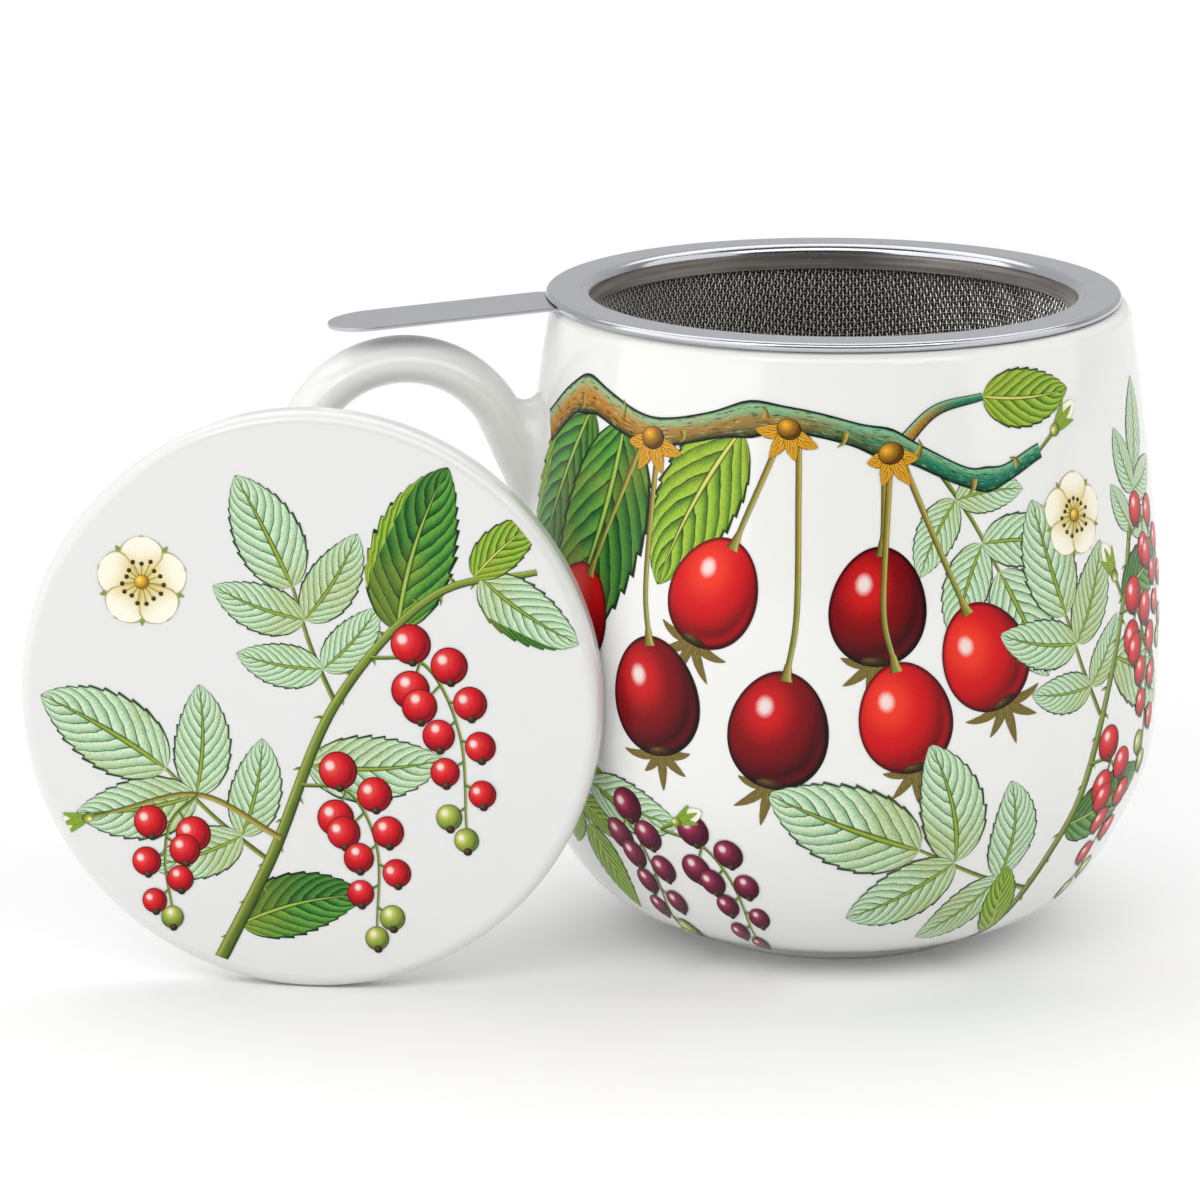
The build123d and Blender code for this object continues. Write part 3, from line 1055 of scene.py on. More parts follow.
    def cloth_piece(self, name: str, families: Sequence[tuple], wire: bpy.types.Material) -> Piece:
        """Joins two families of wires into one piece, outward faces and all.

        Args:
            name: The piece's name.
            families: Vertices, faces, map places and weave values of each family.
            wire: The finish.

        Returns:
            The piece.
        """
        places, quads, maps, weaves, start = [], [], [], [], 0
        for family_places, family_quads, family_maps, family_weaves in families:
            used, numbers = np.unique(family_quads, return_inverse=True)
            places.append(family_places[used])
            maps.append(family_maps[used])
            weaves.append(family_weaves[used])
            quads.append(numbers.reshape(family_quads.shape) + start)
            start += len(used)
        place = np.concatenate(places) * MM
        corners = np.ascontiguousarray(np.concatenate(quads), np.int32)
        spread = np.concatenate(maps)
        spread = (spread - spread.min(0)) / np.ptp(spread, axis=0) * 0.98 + 0.01
        mesh = bpy.data.meshes.new(name)
        mesh.vertices.add(len(place))
        mesh.loops.add(corners.size)
        mesh.loops.foreach_set("vertex_index", corners.ravel())
        mesh.polygons.add(len(corners))
        mesh.polygons.foreach_set("loop_start", np.arange(0, corners.size, 4, dtype=np.int32))
        set_coordinates(mesh, place)
        mesh.update(calc_edges=True)
        layer = mesh.uv_layers.new(name=BAKE_MAP)
        layer.uv.foreach_set("vector", spread[corners.ravel()].astype(np.float32).ravel())
        mesh.shade_flat()
        woven = mesh.attributes.new(WEAVE, "FLOAT_VECTOR", "POINT")
        woven.data.foreach_set("vector", np.concatenate(weaves).astype(np.float32).ravel())
        piece = bpy.data.objects.new(name, mesh)
        bpy.context.scene.collection.objects.link(piece)
        tidied(piece)
        return finished(piece, name, "infuser", wire)

    def floor(self, wire: bpy.types.Material) -> Piece:
        """Weaves the flat bottom as a square cloth cut to a circle.

        Args:
            wire: The finish.

        Returns:
            The piece.
        """
        radius, height, _ = self.meridian(np.array([self.wall_length()]))
        half = int(radius[0] / self.floor_pitch) + 1
        steps = np.arange(-half, half + 1)
        i, j = np.meshgrid(steps, steps, indexing="ij")
        x, y = i * self.floor_pitch, j * self.floor_pitch
        turn = math.radians(self.cloth_turn)
        first = np.broadcast_to([math.cos(turn), math.sin(turn), 0.0], (*i.shape, 3))
        second = np.broadcast_to([-math.sin(turn), math.cos(turn), 0.0], (*i.shape, 3))
        net = Net(
            middle=first * x[..., None] + second * y[..., None] + np.array([INFUSER_X, 0.0, height[0]]),
            outward=np.broadcast_to([0.0, 0.0, -1.0], (*i.shape, 3)),
            angle=np.full(i.shape, math.pi / 2),
            keep=np.hypot(x, y) <= radius[0] + self.floor_overlap,
            paint=np.stack([x, y], -1),
            side=first,
            ahead=second,
            sign=np.where((i + j) % 2 == 0, -1.0, 1.0),
        )
        families = [self.wires(net, along_rows=True), self.wires(net, along_rows=False)]
        return self.cloth_piece("basket_floor", families, wire)

    def tab(self, steel: bpy.types.Material) -> Piece:
        """Cuts the lifting strip from a flat grid, bends it and gives its edges their small roundings.

        Args:
            steel: The finish.

        Returns:
            The piece, which stands for the strip's solid.
        """
        piece, share, across = grid_piece(*self.tab_cells)
        half = self.tab_width / 2
        tip = self.tab_reach - half
        run = self.tab_root + (self.tab_reach - self.tab_root) * share
        run = np.where(run > tip, tip + np.sin(np.clip((run - tip) / half, 0, 1) * math.pi / 2) * half, run)
        past = np.clip((run - tip) / half, 0, 1)
        width = half * np.sqrt(np.clip(1 - past**2, 0.0004, 1))
        pad = self.flange_top - self.rim_sheet
        low = pad - self.tab_step
        end = low - (self.tab_reach - self.tab_bend) * math.tan(math.radians(self.tab_droop))
        step_start = self.tab_root + self.tab_pad
        knees = [self.tab_root, step_start, step_start + self.tab_step_run, self.tab_bend, self.tab_reach]
        height = np.interp(run, knees, [pad, pad, low, low, end]) - self.tab_sheet / 2
        set_coordinates(piece.data, np.stack([INFUSER_X - run, (1 - across * 2) * width, height], -1) * MM)
        modified(piece, "SOLIDIFY", thickness=self.tab_sheet * MM, offset=0)
        rounding = {"segments": 3, "limit_method": "ANGLE", "angle_limit": math.radians(50)}
        modified(piece, "BEVEL", width=self.tab_edge * MM, **rounding)
        bpy.ops.object.shade_smooth_by_angle(angle=SMOOTH_ANGLE)
        finished(piece, "lifting_tab", "infuser", steel)
        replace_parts(piece, "infuser_tab")
        return piece


# ---------------------------------------------------------------- painted sprigs


def inks(*colours: tuple[int, int, int]) -> list[Colour]:
    """Several inks, in the order of a finish's own fields."""
    return [ink(*colour) for colour in colours]


class Tint(Enum):
    """The colourings that the painter keeps ready."""

    MINT = LeafPaint(
        "mint_leaf",
        *inks((220, 238, 210), (166, 208, 158), (74, 134, 78), (34, 72, 34), (150, 170, 52), (22, 52, 24)),
        shade=0.62,
    )
    DEEP = LeafPaint(
        "deep_leaf",
        *inks((104, 172, 62), (36, 112, 46), (8, 52, 26), (6, 36, 16), (158, 190, 78), (6, 30, 14)),
        folded=0.35,
    )
    FRESH = LeafPaint(
        "fresh_leaf",
        *inks((172, 204, 66), (100, 150, 42), (34, 78, 22), (24, 54, 14), (212, 214, 104), (20, 42, 12)),
        pairs=7,
    )
    HUSK = LeafPaint(
        "husk_leaf",
        *inks((150, 132, 62), (104, 88, 40), (56, 42, 22), (44, 34, 16), (168, 150, 84), (36, 28, 14)),
        blush=ink(132, 122, 50),
        pairs=4,
    )
    SCALE = LeafPaint(
        "bud_scale",
        *inks((238, 182, 54), (208, 142, 28), (116, 66, 14), (70, 40, 10), (244, 206, 96), (44, 26, 8)),
        blush=ink(214, 150, 40),
        pairs=3,
    )
    KNOT = FruitPaint(
        "twig_knot", *inks((220, 160, 44), (146, 100, 34), (46, 34, 14), (230, 190, 90)), glint_size=0.1
    )
    RIPE = FruitPaint("ripe_fruit", *inks((206, 26, 28), (124, 6, 14), (34, 2, 6)))
    SCARLET = FruitPaint("scarlet_fruit", *inks((240, 58, 38), (206, 14, 20), (92, 4, 10)))
    BEAD = FruitPaint("red_bead", *inks((238, 72, 70), (206, 16, 30), (88, 2, 14)), glint_size=0.2, ribs=5)
    PLUM = FruitPaint("plum_bead", *inks((176, 58, 92), (104, 20, 52), (44, 6, 26)), glint_size=0.2, ribs=5)
    GREEN_BEAD = FruitPaint(
        "green_bead", *inks((214, 216, 112), (142, 162, 62), (66, 84, 34)), glint_size=0.2, ribs=4
    )
    HEART = FruitPaint(
        "blossom_heart", *inks((244, 210, 80), (206, 160, 40), (120, 84, 20)), glint_size=0.1, ribs=6
    )
    SPECK = FruitPaint("dry_speck", *inks((92, 70, 34), (58, 40, 20), (30, 20, 12)), glint_size=0.02)
    STALK = StemPaint("green_stalk", *inks((92, 118, 40), (122, 144, 58), (44, 60, 20), (184, 192, 92)))
    STRAW = StemPaint("straw_stalk", *inks((150, 130, 52), (120, 134, 56), (84, 62, 24), (212, 196, 110)))
    TWIG = StemPaint(
        "twig_bark", *inks((190, 124, 26), (26, 118, 88), (8, 44, 32), (140, 204, 158)), bark=0.9, outline=1.0
    )
    PETAL = PetalPaint("petal")


class Palette:
    """Makes each painted finish once, when it is first asked for."""

    def __init__(self) -> None:
        """Starts with nothing mixed."""
        self.mixed: dict[Tint, bpy.types.Material] = {}

    def __getitem__(self, tint: Tint) -> bpy.types.Material:
        """Looks up a finish, which is mixed now if it wasn't before.

        Args:
            tint: The colouring.

        Returns:
            Its material.
        """
        if tint not in self.mixed:
            self.mixed[tint] = tint.value.material()
        return self.mixed[tint]


class MugPage:
    """The mug's outer wall as a flat sheet: x runs round the wall from its front, y is the height."""

    body = "mug"
    facing = math.radians(260)
    spread = 48.0  # mm of the sheet for one radian
    low, high, readings = 0.8, 94.0, 160  # heights in mm between which the profile is read, and how often
    outside = 90.0  # distance from the axis from which it is read, mm

    def __init__(self) -> None:
        """Reads the wall's profile off its solid."""
        tree = BVHTree.FromObject(frame["nodes"]["mug_body"], bpy.context.evaluated_depsgraph_get())
        inward = Vector((-math.cos(self.facing), -math.sin(self.facing), 0))
        self.heights = np.linspace(self.low, self.high, self.readings)
        starts = [inward * (-self.outside * MM) + Vector((0, 0, height * MM)) for height in self.heights]
        hits = [tree.ray_cast(start, inward)[0] for start in starts]
        self.radii = np.array([math.hypot(hit.x, hit.y) for hit in hits]) / MM
        self.slopes = np.gradient(self.radii, self.heights)

    def lay(self, flat: np.ndarray, lift: float) -> np.ndarray:
        """Wraps places on the sheet round the wall.

        Args:
            flat: Rows of x, y in mm.
            lift: Distance off the wall in mm.

        Returns:
            Rows of x, y, z in metres.
        """
        turn = self.facing + flat[:, 0] / self.spread
        slope = np.interp(flat[:, 1], self.heights, self.slopes)
        length = np.hypot(1, slope)
        radius = np.interp(flat[:, 1], self.heights, self.radii) + lift / length
        height = flat[:, 1] - lift * slope / length
        return np.stack([radius * np.cos(turn), radius * np.sin(turn), height], -1) * MM


class LidPage:
    """The lid's upper face as a flat sheet with its middle at 0, 0, seen upright as the lid stands."""

    body = "lid"
    lean = math.radians(3.1)
    facing = math.radians(256)
    reach = 40.2  # radius of the flat face that can be painted, mm
    slack = 0.02  # how far below the highest spot a vertex still counts as on the face, mm

    def __init__(self) -> None:
        """Finds the face's middle on the solid."""
        level, east, north = math.cos(self.lean), math.cos(self.facing), math.sin(self.facing)
        self.normal = np.array([east * level, north * level, math.sin(self.lean)])
        self.right = np.array([-north, east, 0.0])
        self.up = np.cross(self.normal, self.right)
        places = coordinates(frame["nodes"]["lid"].data) / MM
        depth = places @ self.normal
        face = places[depth > depth.max() - self.slack]
        middle = [(np.ptp(face @ way) / 2 + (face @ way).min()) for way in (self.right, self.up)]
        self.centre = self.right * middle[0] + self.up * middle[1] + self.normal * depth.max()

    def lay(self, flat: np.ndarray, lift: float) -> np.ndarray:
        """Puts places on the sheet onto the face, those past its edge on the edge.

        Args:
            flat: Rows of x, y in mm.
            lift: Distance off the face in mm.

        Returns:
            Rows of x, y, z in metres.
        """
        away = np.hypot(flat[:, 0], flat[:, 1])
        held = flat * np.minimum(1, self.reach / np.maximum(away, 1e-6))[:, None]
        return (self.centre + held[:, :1] * self.right + held[:, 1:] * self.up + self.normal * lift) * MM


def bearing(degrees: float) -> np.ndarray:
    """Unit step on a sheet at an angle from its x."""
    return np.array([math.cos(math.radians(degrees)), math.sin(math.radians(degrees))])


def leftward(steps: np.ndarray) -> np.ndarray:
    """Steps on a sheet, turned a quarter to the left."""
    return np.stack([-steps[..., 1], steps[..., 0]], -1)


def flowing(points: Sequence[Place], share: np.ndarray) -> tuple[np.ndarray, np.ndarray]:
    """Runs one smooth line through points.

    Args:
        points: Places on the sheet, mm.
        share: How far along, 0 to 1, for each answer.

    Returns:
        Places on the line and unit steps across it, to its left.
    """
    knots = np.asarray(points, float)
    knots = np.concatenate([[2 * knots[0] - knots[1]], knots, [2 * knots[-1] - knots[-2]]])
    spot = share * (len(knots) - 3)
    at = np.minimum(spot.astype(int), len(knots) - 4)
    t = (spot - at)[:, None]
    a, b, c, d = (knots[at + k] for k in range(4))
    square, cube = 2 * a - 5 * b + 4 * c - d, 3 * b - a - 3 * c + d
    place = 0.5 * (2 * b + (c - a) * t + square * t**2 + cube * t**3)
    along = 0.5 * ((c - a) + 2 * square * t + 3 * cube * t**2)
    along /= np.linalg.norm(along, axis=1)[:, None]
    return place, leftward(along)


class Painter:
    """Paints leaves, fruits, stalks and blossoms on one page, each a thin sheet that hugs the glaze."""

    first_lift = 0.06  # mm off the glaze
    next_lift = 0.006  # what a stroke lies above those that it crosses
    cell = 1.5  # mm on the page, in which strokes count as crossing
    reach = 120  # cells from the page's middle to its ends

    def __init__(self, page: MugPage | LidPage, palette: Palette, seed: int) -> None:
        """Takes up the page, the finishes and the seed of this painter's small irregularities.

        Args:
            page: What it paints on.
            palette: The finishes.
            seed: The seed.
        """
        self.page = page
        self.palette = palette
        self.chance = random.Random(seed)
        self.strokes = 0
        self.covered = np.zeros((2 * self.reach, 2 * self.reach), int)

    def level(self, flat: np.ndarray) -> int:
        """Finds the lowest level that is clear of the strokes already there, and takes it.

        Args:
            flat: The new stroke's places on the page.

        Returns:
            How many strokes lie under it at most.
        """
        cells = np.clip(np.round(flat / self.cell).astype(int) + self.reach, 0, 2 * self.reach - 1)
        rows, columns = cells[:, 0], cells[:, 1]
        level = int(self.covered[rows, columns].max())
        self.covered[rows, columns] = level + 1
        return level

    def sheet(
        self, kind: str, columns: int, rows: int, shape: Outline, tint: Tint, paint: Outline | None = None
    ) -> Piece:
        """Cuts one sheet out of a grid and lays it on the page.

        Args:
            kind: What it is, for its name.
            columns: Cells along u.
            rows: Cells along v.
            shape: Turns u and v, 0 to 1, into places on the page.
            tint: Its colouring.
            paint: Turns u and v into the map, where that is not u and v themselves.

        Returns:
            The piece.
        """
        piece, u, v = grid_piece(columns, rows)
        flat = shape(u, v)
        lift = self.first_lift + self.next_lift * self.level(flat)
        set_coordinates(piece.data, self.page.lay(flat, lift))
        layer = piece.data.uv_layers[0]
        layer.name = PAINT_MAP
        if paint:
            corners = np.empty(len(piece.data.loops), np.int32)
            piece.data.loops.foreach_get("vertex_index", corners)
            layer.uv.foreach_set("vector", paint(u, v)[corners].astype(np.float32).ravel())
        piece.data.shade_smooth()
        self.strokes += 1
        name = f"{self.page.body}_{kind}_{self.strokes:03d}"
        return finished(piece, name, self.page.body, self.palette[tint])

    def joined(self, *rows: list[Piece]) -> None:
        """Makes one piece of each row of pieces of the same finish.

        Args:
            rows: The rows, of which those without a piece are left out.
        """
        for row in filter(None, rows):
            choose(*row)
            bpy.ops.object.join()

    def leaf(
        self,
        root: Place,
        turn: float,
        length: float,
        width: float,
        tint: Tint,
        bend: float = 20.0,
        teeth: int = 11,
        bite: float = 0.1,
        belly: float = 0.42,
        fold: float = 0.0,
        under: Tint = Tint.DEEP,
    ) -> Piece:
        """A toothed leaf with a bowed rib, one edge of which may be turned over.

        Args:
            root: Where its stalk joins.
            turn: Direction of its rib at the root, degrees.
            length: Along the rib, mm.
            width: At its widest, mm.
            tint: Its colouring.
            bend: How far the rib turns on its way, degrees, never quite 0.
            teeth: Teeth on each side.
            bite: Their depth as a share of the width.
            belly: Where it is widest, 0 at the root and 1 at the tip.
            fold: How much of a half is turned over: to the left above 0, to the right below 0.
            under: Colouring of what the turned edge shows.

        Returns:
            The piece.
        """
        shake = [self.chance.uniform(0.6, 1.3) for _ in range(2 * teeth + 2)]
        start, rise = math.radians(turn), belly / (1 - belly)
        radius = length / math.radians(bend)

        def shape(u: np.ndarray, v: np.ndarray) -> np.ndarray:
            """Lays the grid out as the leaf.

            Args:
                u: How far along the rib.
                v: How far across.

            Returns:
                Places on the page.
            """
            side = v * 2 - 1
            out = np.abs(side)
            spot = np.clip(u + 0.1 * out**1.5 * np.sin(math.pi * u), 0, 1)
            angle = np.radians(turn + bend * spot)
            rib = np.stack([np.sin(angle) - math.sin(start), math.cos(start) - np.cos(angle)], -1) * radius
            plump = (spot**rise * (1 - spot)) / (belly**rise * (1 - belly))
            half = width / 2 * np.clip(plump, 0, 1) ** 0.8
            tooth = u * teeth
            size = np.interp(np.floor(tooth) + np.where(side > 0, teeth, 0), np.arange(len(shake)), shake)
            fading = np.sin(math.pi * np.clip(u, 0.02, 0.97)) ** 0.3
            cut = bite * size * ((tooth % 1) - 0.55) * out**6 * fading
            forward = np.stack([np.cos(angle), np.sin(angle)], -1)
            across = leftward(forward) * (side * half * (1 + cut))[:, None]
            return np.asarray(root) + rib + across + forward * (half * cut * 0.8)[:, None]

        def turned_edge(u: np.ndarray, v: np.ndarray) -> np.ndarray:
            """Lays the grid out between the leaf's edge and a bowed line inside it."""
            inside = abs(fold) * np.sin(math.pi * u) * (1 - v)
            return shape(0.14 + 0.74 * u, (math.copysign(1, fold) * (1.0 - inside) + 1) / 2)

        blade = self.sheet("leaf", teeth * 6, 18, shape, tint)
        if fold:
            self.sheet("fold", 48, 6, turned_edge, under, lambda u, v: np.stack([u, 0.56 + 0.44 * v], -1))
        return blade

    def stalk(
        self, points: Sequence[Place], tint: Tint, start: float, end: float, knots: Sequence[Place] = ()
    ) -> Piece:
        """A stalk or twig of changing width.

        Args:
            points: Where it runs.
            tint: Its colouring.
            start: Width at its first point, mm.
            end: Width at its last, mm.
            knots: Pairs of how far along a swelling sits, 0 to 1, and how wide it is, mm.

        Returns:
            The piece.
        """

        def shape(u: np.ndarray, v: np.ndarray) -> np.ndarray:
            """Lays the grid out along the stalk.

            Args:
                u: How far along.
                v: How far across.

            Returns:
                Places on the page.
            """
            place, across = flowing(points, u)
            width = start + (end - start) * u
            for spot, swelling in knots:
                width = width + swelling * np.exp(-(((u - spot) * 34) ** 2))
            return place + across * ((v - 0.5) * width)[:, None]

        return self.sheet("stalk", 14 * (len(points) - 1) + 20 * bool(knots), 4, shape, tint)

    def round(
        self, centre: Place, width: float, height: float, tint: Tint, turn: float = 0.0, pear: float = 0.0
    ) -> Piece:
        """A round or pear-shaped fruit.

        Args:
            centre: Its middle.
            width: Across, mm.
            height: From its stalk to its end, mm.
            tint: Its colouring.
            turn: Turn of its upright, degrees.
            pear: How much wider its upper half is.

        Returns:
            The piece.
        """

        def disc(u: np.ndarray, v: np.ndarray) -> tuple[np.ndarray, np.ndarray]:
            """Turns the square grid into a disc."""
            x, y = u * 2 - 1, v * 2 - 1
            return x * np.sqrt(1 - y * y / 2), y * np.sqrt(1 - x * x / 2)

        def shape(u: np.ndarray, v: np.ndarray) -> np.ndarray:
            """Lays the disc out as the fruit.

            Args:
                u: How far across the grid.
                v: How far up.

            Returns:
                Places on the page.
            """
            x, y = disc(u, v)
            x = x * width / 2 * (1 + pear * y)
            y = y * height / 2
            cosine, sine = bearing(turn)
            return np.stack([centre[0] + x * cosine - y * sine, centre[1] + x * sine + y * cosine], -1)

        cells = 26 if width > 8 else 12
        return self.sheet("fruit", cells, cells, shape, tint, lambda u, v: (np.stack(disc(u, v), -1) + 1) / 2)

    def hip(self, root: Place, centre: Place, width: float, height: float, tint: Tint, turn: float) -> None:
        """A hanging rose hip: bowed stalk, fruit and the dry husk at its end.

        Args:
            root: Where its stalk leaves the twig.
            centre: The fruit's middle.
            width: Across, mm.
            height: From stalk to husk, mm.
            tint: Its colouring.
            turn: Turn of its upright to the left, degrees.
        """
        up = bearing(turn + 90)
        top, end = np.add(centre, up * height * 0.47), np.subtract(centre, up * height * 0.47)
        gap = math.dist(root, top)
        bow = np.asarray(root) * 0.62 + (top + up * gap * 0.3) * 0.38
        self.stalk([root, bow, top + up * gap * 0.26, top], Tint.STRAW, 0.95, 0.8)
        for lean in (-66, 60, -34, 30, -4):
            size = height * self.chance.uniform(0.26, 0.42)
            self.leaf(end + up * 0.3, turn - 90 + lean, size, 1.5, Tint.HUSK, lean * 0.8, 4, 0.05, 0.35)
        self.round(centre, width, height, tint, turn, -0.1)
        self.round(end + up * 0.25, width * 0.3, width * 0.1, Tint.SPECK, turn)
        self.stalk([top + up * 1.6, top, top - up * 0.9], Tint.STRAW, 0.9, 2.0)

    def knuckle(self, centre: Place, size: float, turn: float) -> None:
        """A swelling of the twig with the dry scales of old buds.

        Args:
            centre: Its middle.
            size: Across, mm.
            turn: Where the scales point, degrees.
        """
        for lean in (-64, 56, -22, 18):
            reach = size * self.chance.uniform(0.9, 1.35)
            self.leaf(centre, turn + lean, reach, size * 0.55, Tint.SCALE, lean * 0.5, 3, 0.12, 0.4)
        self.round(centre, size * 0.95, size * 0.75, Tint.KNOT, turn + 90)

    def thorns(self, points: Sequence[Place], count: int, size: float, tint: Tint = Tint.STALK) -> None:
        """Short prickles on both sides of a stalk.

        Args:
            points: Where the stalk runs.
            count: How many.
            size: Length of one, mm.
            tint: Their colouring.
        """
        places, across = flowing(points, np.linspace(0.05, 0.93, count))
        spikes = []
        for number, (place, side) in enumerate(zip(places, across)):
            out = side * (-1) ** number * size * self.chance.uniform(0.7, 1.2)
            hook = leftward(side) * size * 0.35
            spikes.append(self.stalk([place, place + out * 0.6, place + out + hook], tint, size * 0.55, 0.05))
        self.joined(spikes)

    def currants(
        self, points: Sequence[Place], count: int, size: float, tint: Tint, tip: Tint | None = None
    ) -> None:
        """A hanging string of beads that get smaller towards its end.

        Args:
            points: Where the string runs.
            count: Beads along it.
            size: Of the first bead across, mm.
            tint: The beads' colouring.
            tip: Colouring of the last ones.
        """
        self.stalk(points, Tint.STALK, 0.55, 0.35)
        places, across = flowing(points, np.linspace(0.22, 1.0, count))
        unripe = count // 4 if tip else 0
        feet, beads, last, dots = [], [], [], []
        for number, (place, side) in enumerate(zip(places, across)):
            small = 1 - 0.42 * number / count
            way = (-1) ** number * (0.62 if number < count - 1 else 0.0) * self.chance.uniform(0.85, 1.15)
            spot = place + side * way * size * small + np.array([0, -0.25 * size])
            feet.append(self.stalk([place, (place + spot) / 2 + side * 0.1, spot], Tint.STALK, 0.4, 0.35))
            row, colour = (last, tip) if number >= count - unripe else (beads, tint)
            turn = self.chance.uniform(-25, 25)
            row.append(self.round(spot, size * small, size * small * 1.02, colour, turn))
            dot = spot + np.array([0.05, -0.46]) * size * small
            dots.append(self.round(dot, 0.22 * size, 0.2 * size, Tint.SPECK))
        self.joined(feet, beads, last, dots)

    def fan(self, root: Place, turn: float, size: float, tint: Tint, stalk: float) -> None:
        """A rose leaf: leaflets in pairs along a stalk and one at its end.

        Args:
            root: Where its stalk starts.
            turn: Direction of the stalk, degrees.
            size: Length of the end leaflet, mm.
            tint: Its colouring.
            stalk: Bare stalk below the first pair, as a share of the size.
        """
        pairs = 2
        step = bearing(turn)
        spread = size * 0.42
        end = np.add(root, step * (size * stalk + spread * (pairs - 0.35)))
        bow = (np.asarray(root) + end) / 2 + leftward(step) * size * 0.03
        self.stalk([root, bow, end], Tint.STALK, 0.75, 0.5)
        for pair in range(pairs):
            spot = np.add(root, step * (size * stalk + spread * pair))
            for way in (-1, 1):
                part = size * (0.68 + 0.14 * pair) * self.chance.uniform(0.94, 1.05)
                self.leaf(spot, turn + way * (72 - 10 * pair), part, part * 0.52, tint, -way * 22, 9)
        turned, bend = turn + self.chance.uniform(-6, 6), self.chance.uniform(-14, 14)
        self.leaf(end, turned, size, size * 0.56, tint, bend, 11)

    def blossom(self, centre: Place, size: float, turn: float) -> None:
        """A five-petalled blossom with its ring of stamens.

        Args:
            centre: Its middle.
            size: Across, mm.
            turn: Where its first petal points, degrees.
        """
        ways = [turn + 72 * number for number in range(5)]
        for way in ways:
            self.leaf(centre, way + 36, size * 0.5, size * 0.14, Tint.FRESH, 0.1, 3, 0.0)
        petal = (size * 0.52, size * 0.5, Tint.PETAL, 0.1, 2, 0.05, 0.64)
        self.joined([self.leaf(centre, way, *petal) for way in ways])
        threads, tips = [], []
        for number in range(15):
            away = bearing(turn + 24 * number) * size * self.chance.uniform(0.17, 0.25)
            threads.append(self.stalk([centre, centre + away * 0.5, centre + away], Tint.STRAW, 0.12, 0.1))
            tips.append(self.round(centre + away, size * 0.05, size * 0.05, Tint.SPECK))
        self.joined(threads, tips)
        self.round(centre, size * 0.16, size * 0.16, Tint.HEART)

    def bud(self, root: Place, turn: float, size: float) -> None:
        """A closed bud: a short stalk, a tip of petal and three sepals round it.

        Args:
            root: Where its stalk starts.
            turn: Where it points, degrees.
            size: Length of the bud, mm.
        """
        foot = np.add(root, bearing(turn) * size * 0.7)
        self.stalk([root, np.add(root, foot) / 2, foot], Tint.STALK, 0.5, 0.7)
        self.leaf(foot, turn, size, size * 0.5, Tint.PETAL, 0.1, 2, 0.0, 0.5)
        for lean in (-16, 16, 0):
            length = size * (0.85 - abs(lean) * 0.006)
            self.leaf(foot, turn + lean, length, size * 0.22, Tint.FRESH, lean * 1.2 + 0.1, 3, 0.0, 0.3)
        self.round(foot, size * 0.34, size * 0.3, Tint.GREEN_BEAD, turn)


